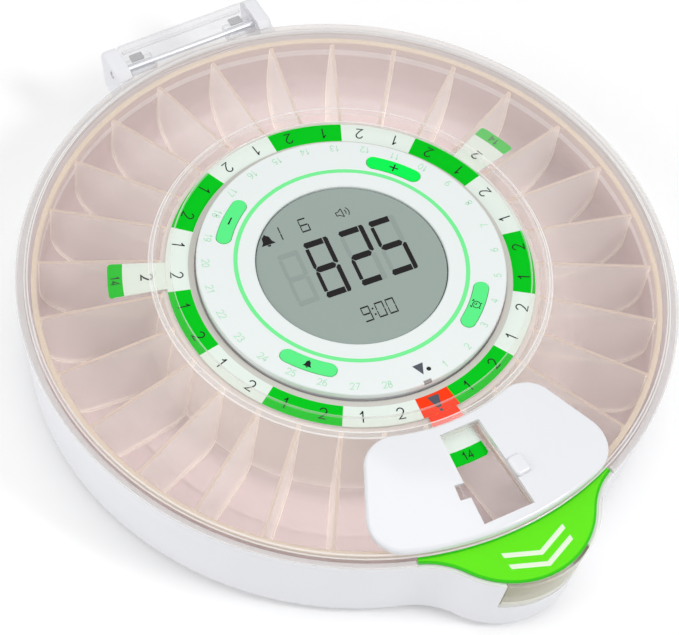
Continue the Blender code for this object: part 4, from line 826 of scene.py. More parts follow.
def base_rings():
    low_inset = BASE_INSET + BASE_DRAFT
    wall_r = LID_R - BASE_INSET - BASE_WALL
    foot_r = LID_R - low_inset - BASE_WALL
    runner_r = (NEST_LOW_R + TRAY_INNER_ROUND + TRAY_IN_R - TRAY_SCOOP) / 2
    runner_z = TRAY_LOW_Z - SEAT_GAP
    half = 2 * RIM_ROUND
    rings = [ring(HUB_BORE_R, UNDERSIDE_Z)]
    rings += [outline_ring(low_inset + BASE_ROUND * s, UNDERSIDE_Z + BASE_ROUND * c) for s, c in quarter(7)]
    rings += [outline_ring(BASE_INSET + RIM_ROUND * c, BASE_TOP_Z - RIM_ROUND * s) for s, c in quarter(3)]
    rings += [ring(wall_r + RIM_ROUND / 2, BASE_TOP_Z), ring(wall_r, BASE_TOP_Z - RIM_ROUND / 2)]
    rings += [ring(foot_r - TROUGH_ROUND * c, FLOOR_Z + TROUGH_ROUND * s) for s, c in quarter(4)]
    inside = ((runner_r + half, FLOOR_Z), (runner_r + half, runner_z), (runner_r - half, runner_z),
              (runner_r - half, FLOOR_Z), (HUB_FOOT_R, FLOOR_Z),
              (HUB_WALL_R, FACE_LOW_Z - SEAT_GAP), (HUB_BORE_R, FACE_LOW_Z - SEAT_GAP))
    return rings + [ring(radius, z) for radius, z in inside]


def base_tub():
    tub = make("base_tub", loop_mesh(base_rings(), True), WHITE)
    cut_nose(tub)
    for side in (-1, 1):
        join(tub, hinge_ear(side))
        reach = mirrored(side, EAR_IN_X - OVERRUN, EAR_IN_X + EAR_WIDTH + OVERRUN)
        cut(tub, hinge_bar(ROD_R + ROD_BORE, reach))
    for place in spots(COVER_SCREW_ANGLES, COVER_SCREW_ORBIT):
        join(tub, rod(HUB_BOSS_R, COVER_TOP_Z + SEAT_GAP, HUB_BOSS_TOP_Z, place))
    for place in spots(FOOT_ANGLES, FOOT_ORBIT):
        cut(tub, rod(FOOT_R + SEAT_GAP, -OVERRUN, FOOT_THICK + SEAT_GAP, place))
    dress(tub, "base", "white_shell", "Base_Shell")


def cut_nose(tub):
    """Lowers the nose's top for the lid's tab, and cuts the pockets under it and the tongue's notch."""
    reach = LID_R - BASE_INSET - BASE_WALL - OVERRUN
    cut(tub, swept(both(NOSE_STEP_SPAN, NOSE_STEPS),
                   lambda a: slab((reach, outline_r(a, -OVERRUN)), flat(NOSE_TOP_Z, FLANGE_Z + OVERRUN))))
    roof = NOSE_TOP_Z - NOSE_ROOF
    wall = NOSE_WALL + TONGUE_THICK + 2 * RUN_GAP
    pocket_span = nose_turn(LID_R + NOSE_POCKET_END, base_inset(UNDERSIDE_Z) + wall)
    for side in (-1, 1):
        cut(tub, swept(spread(*mirrored(side, NOSE_RIB_SPAN, pocket_span), NOSE_STEPS // 4),
                       lambda a: ((LID_R, -OVERRUN),
                                  (outline_r(a, base_inset(UNDERSIDE_Z) + wall), -OVERRUN),
                                  (outline_r(a, base_inset(roof) + wall), roof), (LID_R, roof))))
    cut(tub, nose_strip(TONGUE_SPAN + NOTCH_SIDE, base_inset(NOTCH_LOW_Z) - OVERRUN,
                        base_inset(BASE_TOP_Z) - OVERRUN, OVERRUN + TONGUE_THICK + 2 * RUN_GAP,
                        NOTCH_LOW_Z, BASE_TOP_Z + OVERRUN))


def hinge_ear(side):
    """A rounded ear behind the rim that holds one end of the hinge rod."""
    outline = [(EAR_FRONT_Y - EAR_LEAN, EAR_LOW_Z), (EAR_BACK_Y - EAR_ROUND, EAR_LOW_Z + EAR_ROUND)]
    outline += arc((EAR_BACK_Y - EAR_ROUND, EAR_TOP_Z - EAR_ROUND), EAR_ROUND, 0.0, QUARTER, 10)
    outline += [(HINGE_Y - KNUCKLE_R, EAR_TOP_Z), (EAR_STEP_Y, BASE_TOP_Z + SEAT_GAP),
                (EAR_STEP_Y, BASE_TOP_Z - RIM_ROUND), (EAR_FRONT_Y, BASE_TOP_Z - RIM_ROUND)]
    ends = mirrored(side, EAR_IN_X, EAR_IN_X + EAR_WIDTH)
    shape = loop_mesh([[Vector((x, y, z)) for y, z in outline] for x in ends], False)
    bmesh.ops.recalc_face_normals(shape, faces=shape.faces)
    outer_x = side * (EAR_IN_X + EAR_WIDTH)
    edges = [e for e in shape.edges
             if all(abs(v.co.x - outer_x) < PRINT and v.co.y > EAR_STEP_Y - PRINT for v in e.verts)]
    bmesh.ops.bevel(shape, geom=edges, offset=EAR_EDGE, segments=4, profile=0.5, affect="EDGES")
    return shape


def hinge_pin():
    pin = make("hinge_pin", hinge_bar(ROD_R, (-HINGE_HALF, HINGE_HALF), ROD_BORE), PIN_STEEL)
    dress(pin, "base", "steel", "Hinge_Rod")


def feet():
    for number, place in enumerate(spots(FOOT_ANGLES, FOOT_ORBIT), 1):
        shape = stack(place, ((FOOT_R - SEAT_GAP, 0.0), (FOOT_R, SEAT_GAP), (FOOT_R, FOOT_THICK)))
        dress(make("rubber_foot_%d" % number, shape, RUBBER), "base", "foot_rubber", "Foot_%d" % number)


# Face, display and marks

def face_plate():
    ring_r = HUB_BORE_R - SEAT_GAP
    lip_r = ring_r - FACE_LIP_THICK
    lip_z = FACE_LOW_Z - FACE_LIP
    lens_edge = SCREEN_R + SEAT_GAP
    profile = [(lens_edge, FACE_TOP_Z - SEAT_GAP), (lens_edge + SEAT_GAP, FACE_TOP_Z)]
    profile += arc((FACE_R - FACE_ROUND, FACE_TOP_Z - FACE_ROUND), FACE_ROUND, QUARTER, 0.0, 6)
    profile += [(FACE_R, FACE_LOW_Z), (ring_r, FACE_LOW_Z), (ring_r, lip_z), (lip_r, lip_z),
                (lip_r, FACE_LOW_Z), (lens_edge, FACE_LOW_Z)]
    plate = make("face_plate", lathe(profile), FACE)
    through = (FACE_LOW_Z - OVERRUN, FACE_TOP_Z + OVERRUN)
    for angle in BUTTON_ANGLES.values():
        cut(plate, button_shape(radians(angle) + FACE_TURN, SEAT_GAP / 2, flat(*through)))
    half = EDGE_MARK_WIDTH / FACE_R / 2
    inner = FACE_R - EDGE_MARK_DEPTH
    bottom = FACE_TOP_Z - EDGE_MARK_DEPTH
    cut(plate, block(spread(START_TURN - half, START_TURN + half, 2), (inner, FACE_R + OVERRUN),
                     flat(bottom, FACE_TOP_Z + OVERRUN)))
    cut(plate, rod(LAMP_R + PRINT, *through, spot(START_TURN + LAMP_TURN, LAMP_ORBIT)))
    dress(plate, "base", "hub_face", "Hub_Faceplate")
    inset = PRINT * 2
    side = half - inset / FACE_R
    section = ((inner, bottom), (FACE_R - inset, bottom), (FACE_R - inset, FACE_TOP_Z - FACE_ROUND / 2),
               (FACE_R - FACE_ROUND, FACE_TOP_Z - inset), (inner, FACE_TOP_Z - inset))
    mark = swept(spread(START_TURN - side, START_TURN + side, 4), lambda a: section)
    dress(make("face_edge_mark", mark, EDGE_GREY), "base", "hub_face")


def button_shape(turn, room, heights):
    half = BUTTON_WIDTH / 2 + room
    corner = half * BUTTON_CORNER_SHARE
    return sector(turn, BUTTON_SPAN + room / BUTTON_ORBIT, (BUTTON_ORBIT - half, BUTTON_ORBIT + half),
                  (corner, corner), BUTTON_STEPS, heights, BUTTON_STEPS // 2)


def buttons():
    signs = {"Plus": plus_sign(), "Minus": minus_sign(), "Clock": clock_sign(), "Alarm": bell_sign()}
    for name, angle in BUTTON_ANGLES.items():
        turn = radians(angle) + FACE_TURN
        body = name.lower() + "_button"
        cap = button_shape(turn, 0.0, flat(FACE_LOW_Z - SEAT_GAP, FACE_TOP_Z + BUTTON_RISE))
        made = make("button_cap_" + name.lower(), cap, BRIGHT_BUTTON if name == "Plus" else BUTTON)
        bevelled(made, BUTTON_RISE, 3)
        dress(made, body, "button_green", "Button_" + name)
        sign = printed(signs[name], FACE_TOP_Z + BUTTON_RISE)
        bmesh.ops.transform(sign, matrix=facing_hub(turn, BUTTON_ORBIT, 0.0), verts=sign.verts)
        dress(make("button_mark_" + name.lower(), sign, INK), body, "black_plastic")


def bar(x0, y0, x1, y1):
    return ((x0, y0), (x1, y0), (x1, y1), (x0, y1))


def minus_sign():
    return (bar(-BAR_REACH, -BAR_HALF, BAR_REACH, BAR_HALF),)


def plus_sign():
    return (*minus_sign(), bar(-BAR_HALF, BAR_HALF, BAR_HALF, BAR_REACH),
            bar(-BAR_HALF, -BAR_REACH, BAR_HALF, -BAR_HALF))


def arc_plates(centre, radius, width, first, last, steps):
    """A flat arc as a row of short plates that share their ends."""
    turns = spread(first, last, steps)
    return [tuple((centre[0] + r * cos(t), centre[1] + r * sin(t)) for r, t in
                  ((radius - width, a), (radius, a), (radius, b), (radius - width, b)))
            for a, b in zip(turns, turns[1:])]


def clock_sign():
    """An alarm clock: dial, hands, two bells and two feet."""
    radius, width, half = 0.0013, 0.00024, 0.00011
    shapes = arc_plates((0.0, 0.0), radius, width, 0.0, 2 * pi, 28)
    shapes += [bar(-half, 0.0, half, radius * 0.62), bar(half, 0.0, radius * 0.5, 2 * half)]
    for side in (-1, 1):
        lean = radians(90 - side * 45)
        bell = (side * radius * 0.82, radius * 0.95)
        shapes.append(arc(bell, radius * 0.34, lean - QUARTER, lean + QUARTER, 8))
        foot = (side * radius * 0.72, -radius * 0.98)
        shapes.append(arc(foot, radius * 0.16, 0.0, radians(330), 8))
    return shapes


def bell_sign():
    """A bell: dome, flared skirt, clapper and knob."""
    body = [*BELL_SKIRT, *arc(*BELL_DOME, 0.0, pi, 14), *((-x, y) for x, y in reversed(BELL_SKIRT))]
    return [body, arc(*BELL_CLAPPER, pi, 2 * pi, 8), arc(*BELL_KNOB, -pi / 6, pi * 7 / 6, 8)]


def curve(x, y, across, up, first, last, steps):
    """Points of an elliptic arc between two angles in degrees."""
    return [(x + across * cos(radians(t)), y + up * sin(radians(t))) for t in spread(first, last, steps)]


# Strokes of each figure in a box one unit high; True marks a closed one
FIGURES = {
    "0": [(curve(0.28, 0.5, 0.25, 0.48, 0, 345, 22), True)],
    "1": [([(0.10, 0.74), (0.22, 0.80), (0.32, 0.98), (0.34, 0.98), (0.34, 0.0)], False)],
    "2": [(curve(0.28, 0.71, 0.26, 0.27, 172, -30, 10) + [(0.30, 0.26), (0.03, 0.02), (0.56, 0.02)], False)],
    "3": [(curve(0.27, 0.75, 0.22, 0.23, 160, -82, 9) + curve(0.27, 0.27, 0.26, 0.26, 80, -160, 11), False)],
    "4": [([(0.42, 0.0), (0.42, 0.98), (0.02, 0.28), (0.58, 0.28)], False)],
    "5": [([(0.50, 0.97), (0.13, 0.97), (0.08, 0.52)] + curve(0.27, 0.32, 0.26, 0.31, 128, -155, 12), False)],
    "6": [(curve(0.44, 0.40, 0.40, 0.57, 82, 172, 8), False),
          (curve(0.29, 0.30, 0.25, 0.29, 0, 345, 20), True)],
    "7": [([(0.03, 0.97), (0.55, 0.97), (0.20, 0.0)], False)],
    "8": [(curve(0.28, 0.75, 0.20, 0.23, 0, 342, 18), True),
          (curve(0.28, 0.27, 0.25, 0.26, 0, 342, 18), True)],
    "9": [(curve(0.12, 0.58, 0.40, 0.57, -98, -8, 8), False),
          (curve(0.27, 0.68, 0.25, 0.29, 0, 345, 20), True)],
}


def ribbon(points, width, bottom, top, closed):
    """A flat line of a given width along points, with mitred turns."""
    loops = []
    count = len(points)
    for i, point in enumerate(points):
        middle = Vector(point)
        before = Vector(points[i - 1]) if closed or i else middle
        after = Vector(points[(i + 1) % count]) if closed or i < count - 1 else middle
        first = middle - before
        last = after - middle
        along = (first.normalized() + last.normalized()).normalized()
        turn = max(0.5, along.dot((last if last.length else first).normalized()))
        reach = Vector((-along.y, along.x)) * (width / 2 / turn)
        loops.append([Vector((*(middle - reach), bottom)), Vector((*(middle + reach), bottom)),
                      Vector((*(middle + reach), top)), Vector((*(middle - reach), top))])
    return loop_mesh(loops, closed)


def add_text(shape, text, height, line, matrix):
    """Adds figures of a height, drawn with thin lines and centred on the matrix's place."""
    start = -(FIGURE_ADVANCE * (len(text) - 1) + FIGURE_WIDTH) / 2
    for i, figure in enumerate(text):
        for points, closed in FIGURES[figure]:
            placed = [((start + FIGURE_ADVANCE * i + x) * height, (y - 0.5) * height) for x, y in points]
            stroke = ribbon(placed, line, 0.0, 2 * PRINT, closed)
            bmesh.ops.transform(stroke, matrix=matrix, verts=stroke.verts)
            merged(shape, stroke)


def facing_hub(turn, radius, z):
    """Places a flat sign round the hub, with its top towards the hub."""
    return Matrix.Rotation(turn, 4, "Z") @ Matrix.Translation((0.0, -radius, z))


def face_marks():
    numbers = bmesh.new()
    for k in range(1, POSITIONS):
        add_text(numbers, str(k), NUMBER_HEIGHT, NUMBER_LINE,
                 facing_hub(FACE_TURN + k * POSITION_TURN, NUMBER_ORBIT, FACE_TOP_Z - PRINT))
    band = lathe(slab(MINT_RING, flat(FACE_TOP_Z - PRINT, FACE_TOP_Z + PRINT)))
    corners = (spot(START_TURN - ARROW_SPAN, ARROW_BASE_R).xy, spot(START_TURN + ARROW_SPAN, ARROW_BASE_R).xy,
               spot(START_TURN, ARROW_TIP_R).xy)
    for name, shape, look in (("face_numbers", numbers, PALE_GREEN), ("face_mint_ring", band, MINT),
                              ("face_arrow", printed([corners], FACE_TOP_Z), SOFT_INK)):
        dress(make(name, shape, look), "base", "hub_face")


def alarm_lamp():
    shoulder = FACE_TOP_Z - SEAT_GAP
    rings = [(LAMP_R, low("Alarm_Lamp").z), (LAMP_R, shoulder)]
    rings += [(LAMP_R * cos(t), shoulder + SEAT_GAP * sin(t)) for t in spread(*LAMP_DOME, 4)]
    shape = stack(spot(START_TURN + LAMP_TURN, LAMP_ORBIT), rings)
    dress(make("alarm_lamp", shape, LAMP), "base", "lamp", "Alarm_Lamp")


# Display figures, in millimetres from the hub's centre, x to the right and y up

SEGMENTS = {"0": "abcdef", "1": "bc", "2": "abged", "5": "afgcd", "6": "afgedc", "8": "abcdefg",
            "9": "abcdfg"}
SLANT = 0.07
# Rows of a figure, its lower left corner, its width and height, and its bars' thickness
UNLIT_FIGURE = ("8", (-21.4, -8.2), 6.8, 19.5, 1.7)
LARGE_FIGURES = (("8", (-12.3, -8.6), 8.2, 21.2, 2.15), ("2", (-0.4, -8.6), 8.4, 21.2, 2.15),
                 ("5", (9.9, -8.6), 8.6, 21.2, 2.15))
SMALL_FIGURES = [(figure, (x, -20.9), 2.75, 5.5, 0.5) for figure, x in (("9", -5.3), ("0", -0.7), ("0", 2.9))]
TOP_FIGURES = (("1", (-17.6, 16.2), 2.2, 5.0, 0.5), ("6", (-8.9, 16.4), 2.9, 5.2, 0.5))
COLON = (-1.75, -1.2)
COLON_YS = (-19.5, -17.3)
DOT_HEIGHT = 0.6
BELL_SCALE = 1720
BELL_PLACE = (-20.4, 17.8)
SPEAKER_PLACE = (4.9, 18.9)
SPEAKER_LINE = 0.26
SPEAKER_HALF = ((-1.2, 0.65), (-0.3, 0.65), (0.9, 1.6))
SOUND_ARCS = (1.2, 2.2)
SOUND_X = 1.0


def segment_outlines(figure, corner, w, h, t, unlit=False):
    """Bars of a leaning seven-segment figure from its lower left corner: w wide, h high and t thick."""
    gap = t * 0.14
    n = t * 0.68
    middle = h / 2
    half = t / 2
    right = w - n - gap
    bars = {
        "a": ((0.0, h - half * 0.8), (n * 0.35, h), (right, h), (right, h - t), (n * 0.35, h - t)),
        "g": ((n * 0.2, middle), (n * 0.9, middle + half), (right, middle + half), (w - n * 0.7, middle),
              (right, middle - half), (n * 0.9, middle - half)),
        "f": ((0.0, h - t - gap), (n * 0.8, h - t - gap), (n * 0.8, middle + half + gap),
              (n * 0.3, middle + gap), (0.0, middle + half)),
        "b": ((w - n, h), (w - n * 0.25, h), (w, h - n * 0.5), (w, middle + half * 0.6),
              (w - n * 0.4, middle + gap), (w - n, middle + half)),
    }
    for lower, upper in ("da", "ef", "cb"):
        first, *rest = [(x, h - y) for x, y in bars[upper]]
        bars[lower] = (first, *reversed(rest))
    return [tuple((corner[0] + x + SLANT * y, corner[1] + y) for x, y in bars[key])
            for key in "adgfbec" if (key in SEGMENTS[figure]) != unlit]


def display_parts():
    """Outlines of the dark signs and of the faint unlit ones."""
    dark = []
    ghost = segment_outlines(*UNLIT_FIGURE)
    for row in LARGE_FIGURES:
        dark += segment_outlines(*row)
        ghost += segment_outlines(*row, unlit=True)
    for row in SMALL_FIGURES:
        dark += segment_outlines(*row)
    lean = SLANT * 1.5
    dark += [bar(COLON[0] + lean, y, COLON[1] + lean, y + DOT_HEIGHT) for y in COLON_YS]
    for row in TOP_FIGURES:
        dark += segment_outlines(*row)
    dark += [[(x * BELL_SCALE + BELL_PLACE[0], y * BELL_SCALE + BELL_PLACE[1]) for x, y in outline]
             for outline in bell_sign()]
    return dark + speaker_sign(*SPEAKER_PLACE), ghost


def speaker_sign(x, y):
    """A loudspeaker outline with two sound arcs."""
    corners = [(x + a, y - b) for a, b in SPEAKER_HALF] + [(x + a, y + b) for a, b in reversed(SPEAKER_HALF)]
    shapes = []
    for start, end in zip(corners, corners[1:] + corners[:1]):
        first, last = Vector(start), Vector(end)
        along = last - first
        across = Vector((-along.y, along.x)).normalized() * SPEAKER_LINE / 2
        shapes.append((first - across, last - across, last + across, first + across))
    for radius in SOUND_ARCS:
        shapes += arc_plates((x + SOUND_X, y), radius, SPEAKER_LINE, -pi / 4, pi / 4, 8)
    return shapes


def display():
    edge = SEAT_GAP / 2
    screen = stack((0.0, 0.0), ((SCREEN_R, LENS_LOW_Z), (SCREEN_R, LENS_TOP_Z - edge),
                                (SCREEN_R - edge, LENS_TOP_Z)), RING_STEPS)
    dress(make("screen", screen, SCREEN), "base", "display_lens", "Display_Lens")
    dark, ghost = display_parts()
    for name, outlines, look in (("screen_figures", dark, SEGMENT), ("screen_faint_figure", ghost, GHOST)):
        metres = [[(x / 1000, y / 1000) for x, y in outline] for outline in outlines]
        dress(make(name, turned(printed(metres, LENS_TOP_Z), FACE_TURN), look), "base", "display_panel")


# Tray

def divider_z(radius):
    return DECK_Z - DIVIDER_SLOPE * (radius - NEST_TOP_R)


def scoop(root, outer_steps=12):
    """The curves of a compartment's outer and inner sides, grown by a root."""
    outer = (TRAY_IN_R - TRAY_SCOOP, TRAY_FLOOR_Z + TRAY_SCOOP)
    inner = (NEST_LOW_R + TRAY_INNER_ROUND, TRAY_FLOOR_Z + TRAY_INNER_ROUND)
    return (arc(outer, TRAY_SCOOP + root, 0.0, -QUARTER, outer_steps)
            + arc(inner, TRAY_INNER_ROUND + root, -QUARTER, -pi, 6))


def tray_profile():
    """Half section of the tray: rim, scooped floor, inner wall, deck and skirt."""
    wall_r = TRAY_IN_R + TRAY_WALL
    skirt_r = SKIRT_IN_R + SKIRT_THICK
    under = DECK_Z - DECK_THICK
    edge = RIM_ROUND / 2
    rim_z = TRAY_RIM_TOP_Z - TRAY_RIM_HEIGHT
    points = [(TRAY_RIM_R - edge, TRAY_RIM_TOP_Z), (TRAY_RIM_R, TRAY_RIM_TOP_Z - edge), (TRAY_RIM_R, rim_z),
              (wall_r, rim_z - SEAT_GAP)]
    points += scoop(TRAY_WALL, 10)
    points += [(NEST_TOP_R - TRAY_WALL, under), (skirt_r, under), (skirt_r, TOOTH_LOW_Z),
               (SKIRT_IN_R, TOOTH_LOW_Z), (SKIRT_IN_R, under), (DECK_IN_R, under), (DECK_IN_R, DECK_Z - edge),
               (DECK_IN_R + edge, DECK_Z), (NEST_TOP_R - edge, DECK_Z), (NEST_TOP_R, DECK_Z - edge)]
    points += reversed(scoop(0.0))
    points += [(TRAY_IN_R, TRAY_RIM_TOP_Z - drop) for drop in (GLINT_LOW, GLINT_HIGH, SEAT_GAP)]
    return points + [(TRAY_IN_R + SEAT_GAP, TRAY_RIM_TOP_Z)]


def divider(turn):
    """A thin wall between two compartments, set against the tray's inner walls."""
    profile = [(NEST_TOP_R - PRINT, DECK_Z - SEAT_GAP / 2), (TRAY_IN_R + PRINT, divider_z(TRAY_IN_R))]
    across = Vector((cos(turn), sin(turn), 0.0)) * (DIVIDER_THICK / 2)
    middle = [spot(turn, r, z) for r, z in profile + scoop(PRINT)]
    return loop_mesh([[p - across for p in middle], [p + across for p in middle]], False)


def divider_foot(turn):
    """A small fillet along the line where a divider meets the tray's walls and floor."""
    line = [(TRAY_IN_R - PRINT, divider_z(TRAY_IN_R) - FILLET)] + scoop(-PRINT)
    line.append((NEST_TOP_R + PRINT, DECK_Z - FILLET))
    middle_r = (TRAY_IN_R + NEST_LOW_R) / 2
    across = Vector((cos(turn), sin(turn), 0.0)) * (DIVIDER_THICK / 2 + FILLET / 2)
    loops = []
    for r, z in line:
        away = Vector((middle_r - r, DECK_Z - z)).normalized() * FILLET
        foot, top = spot(turn, r, z), spot(turn, r + away.x, z + away.y)
        narrow = across * FILLET_TOP
        loops.append([foot - across, foot + across, top + narrow, top - narrow])
    return loop_mesh(loops, False)


def tray():
    shell = make("tray_shell", lathe(tray_profile()), TRAY, TRAY_DECK, TRAY_RIM, TRAY_SHADE, TRAY_PAINTED_GLINT)
    high_r = TRAY_IN_R - TRAY_SCOOP * (1 - cos(pi / 4))
    glint_z = TRAY_RIM_TOP_Z - (GLINT_LOW + GLINT_HIGH) / 2
    for face in shell.data.polygons:
        radius = polar(face.center)[1]
        # deck, skirt and inner wall take the whiter copy; on the inner wall it is painted light
        if radius < NEST_LOW_R + TRAY_WALL and face.center.z > TOOTH_LOW_Z:
            face.material_index = 1
        # the upper scoop and outer wall take the darker copy: painted shade
        if radius > high_r:
            face.material_index = 3
        # a band of the outer wall takes the whiter copy: painted highlight
        if radius < TRAY_IN_R and abs(face.center.z - glint_z) < SEAT_GAP:
            face.material_index = 4
        if radius > TRAY_IN_R and face.center.z > TRAY_RIM_TOP_Z - 2 * TRAY_RIM_HEIGHT:
            face.material_index = 2
    walls = gathered(divider(turn) for turn in DIVIDER_TURNS)
    walls.normal_update()
    for face in walls.faces:
        if face.calc_center_median().z > divider_z(TRAY_IN_R) - SEAT_GAP and abs(face.normal.z) > 0.5:
            face.material_index = 1
    dividers = make("tray_dividers", walls, TRAY_WALLS, TRAY_EDGES)
    lines = gathered(divider_foot(turn) for turn in DIVIDER_TURNS)
    fillets = make("tray_divider_fillets", lines, TRAY_LINES)
    for made, nodes in ((shell, ["Pill_Tray"]), (dividers, []), (fillets, [])):
        made.visible_shadow = False
        dress(made, "tray", "tray_clear", *nodes)
    dress(make("tray_teeth", tray_teeth(), TRAY), "tray", "tray_clear")


def tray_teeth():
    """Inner teeth under the deck, which the pinion drives."""
    pitch = 2 * pi * RING_PITCH_R / RING_TEETH
    radii = (RING_PITCH_R - TOOTH_TIP * MODULE, RING_PITCH_R, SKIRT_IN_R + PRINT)
    flank = [(r, pitch * share / 2) for r, share in zip(radii, TOOTH_THICK_SHARES)]
    outline = [(r, -h) for r, h in flank] + list(reversed(flank))
    ends = (TOOTH_LOW_Z + SEAT_GAP, TOOTH_LOW_Z + TOOTH_HEIGHT)
    turns = [Matrix.Rotation((i + 0.5) * 2 * pi / RING_TEETH, 2) for i in range(RING_TEETH)]
    return gathered(prism([turn @ Vector(p) for p in outline], *ends) for turn in turns)


# Card

def cell_look(k):
    """Which of the card's finishes a cell has: 0 white, 1 green, 2 red."""
    if k % POSITIONS == 0:
        return 2
    return 1 if ((k - 1) // 2) % 2 == 0 else 0


def card():
    edge = PRINT * 2
    profile = ((CARD_MARGIN_R, CARD_TOP_Z - edge), (CARD_MARGIN_R + edge, CARD_TOP_Z),
               (CARD_IN_R, CARD_TOP_Z), (CARD_OUT_R - edge, CARD_TOP_Z), (CARD_OUT_R, CARD_TOP_Z - edge),
               (CARD_OUT_R, CARD_LOW_Z), (CARD_MARGIN_R, CARD_LOW_Z))
    turns = [START_TURN + (i / CELL_STEPS - 0.5) * POSITION_TURN for i in range(POSITIONS * CELL_STEPS)]
    shape = bmesh.new()
    columns = [[shape.verts.new(spot(turn, r, z)) for r, z in profile] for turn in turns]
    for i, first in enumerate(columns):
        last = columns[(i + 1) % len(columns)]
        for j in range(len(profile)):
            n = (j + 1) % len(profile)
            face = shape.faces.new((first[j], last[j], last[n], first[n]))
            # faces 0 and 1 are the card's inner band, in painted shade
            face.material_index = cell_look(i // CELL_STEPS) if j in (2, 3) else 3 if j in (0, 1) else 0
    made = make("dosage_card", shape, CARD_WHITE, CARD_GREEN, CARD_RED, CARD_SHADE_BAND)
    dress(made, "tray", "card_print", "Dosage_Ring")
    card_tabs()
    card_digits()


def tab_z(radius):
    bottom = min(CARD_LOW_Z, divider_z(radius) + SEAT_GAP) + SEAT_GAP / 3
    return bottom, bottom + CARD_THICK - 2 * SEAT_GAP / 3


def card_tabs():
    """Tongues of the card that lie over three compartments, white with a green outer band."""
    edge = CARD_TAB_CORNER / CARD_TAB_R
    corner_turns = [-CARD_TAB_SPAN + edge * c for _, c in quarter(6)]
    offsets = corner_turns + both(CARD_TAB_SPAN - edge, 8)[1:-1] + [-a for a in reversed(corner_turns)]
    for number, place in enumerate(CARD_TAB_PLACES, 1):
        turn = START_TURN + place * POSITION_TURN

        def section(angle, middle=turn):
            side = (CARD_TAB_SPAN - abs(angle - middle)) * CARD_TAB_R
            end = CARD_TAB_R - corner_inset(side, CARD_TAB_CORNER)
            return slab((CARD_OUT_R - SEAT_GAP, NEST_TOP_R, START_TAB_RED_R, CARD_BAND_R, end), tab_z)

        shape = swept([turn + a for a in offsets], section)
        for face in shape.faces:
            radius = face.calc_center_median().xy.length
            if radius > CARD_BAND_R:
                face.material_index = 1
            if place == 0 and radius < START_TAB_RED_R:
                face.material_index = 2
        dress(make("card_tab_%d" % number, shape, CARD_WHITE, CARD_GREEN, CARD_RED), "tray", "card_print")


def sloped(turn, radius):
    """Places a flat sign on a card tab, leaning with the tab."""
    return facing_hub(turn, radius, tab_z(radius)[1] - PRINT) @ Matrix.Rotation(atan(DIVIDER_SLOPE), 4, "X")


def card_digits():
    digits = bmesh.new()
    middle = (CARD_IN_R + CARD_OUT_R) / 2
    for k in range(1, POSITIONS):
        add_text(digits, "1" if k % 2 else "2", *CELL_DIGIT,
                 facing_hub(START_TURN + k * POSITION_TURN, middle, CARD_TOP_Z - PRINT))
    for place in CARD_TAB_PLACES:
        turn = START_TURN + place * POSITION_TURN
        if place:
            add_text(digits, "2", *TAB_DIGIT, sloped(turn, TAB_DIGIT_ORBIT))
        add_text(digits, "14", *TAB_COUNT, sloped(turn, (CARD_BAND_R + CARD_TAB_R) / 2))
    dress(make("card_digits", digits, INK), "tray", "card_print")
    (wide, high_r), (narrow, low_r) = WEDGE
    wedge = ((-wide, -high_r), (wide, -high_r), (narrow, -low_r), (-narrow, -low_r))
    dot = arc((0.0, -DOT_ORBIT), DOT_R, 0.0, radians(340), 14)
    arrow = turned(printed((wedge, dot), CARD_TOP_Z), START_TURN)
    dress(make("card_start_arrow", arrow, SOFT_INK), "tray", "card_print")


# Lid

def lid_rings():
    drop = LID_THICK
    soft = FLANGE_ROUND / 2
    under = ((LID_HOLE_R, COLLAR_TOP_Z - drop), (COLLAR_TOP_R - drop / 2, COLLAR_TOP_Z - drop),
             (CONE_IN_R - drop / 4, CONE_IN_Z - drop), (STEP_TOP_R - drop, cone_z(STEP_TOP_R) - drop),
             (STEP_FOOT_R - drop / 2, FLANGE_Z))
    over = ((STEP_FOOT_R + soft, FLANGE_TOP_Z), (STEP_FOOT_R - soft, FLANGE_TOP_Z + soft),
            (STEP_TOP_R + soft, STEP_TOP_Z - soft), (STEP_TOP_R - soft, cone_z(STEP_TOP_R - soft)),
            (CONE_IN_R + soft, cone_z(CONE_IN_R + soft)), (CONE_IN_R - soft, CONE_IN_Z + soft))
    edge = quarter(3)
    rings = [ring(radius, z) for radius, z in under]
    rings += [outline_ring(FLANGE_ROUND * c, FLANGE_Z + FLANGE_ROUND * s) for s, c in reversed(edge)]
    rings += [outline_ring(FLANGE_ROUND * c, FLANGE_TOP_Z - FLANGE_ROUND * s) for s, c in edge]
    rings += [ring(radius, z) for radius, z in over]
    over = [(COLLAR_TOP_R + FLANGE_ROUND * (1 - 2 * c), COLLAR_TOP_Z - FLANGE_ROUND * s) for s, c in edge]
    over += [(LID_HOLE_R + FLANGE_ROUND * s, COLLAR_TOP_Z - FLANGE_ROUND * c) for s, c in edge]
    return rings + [ring(radius, z) for radius, z in over]


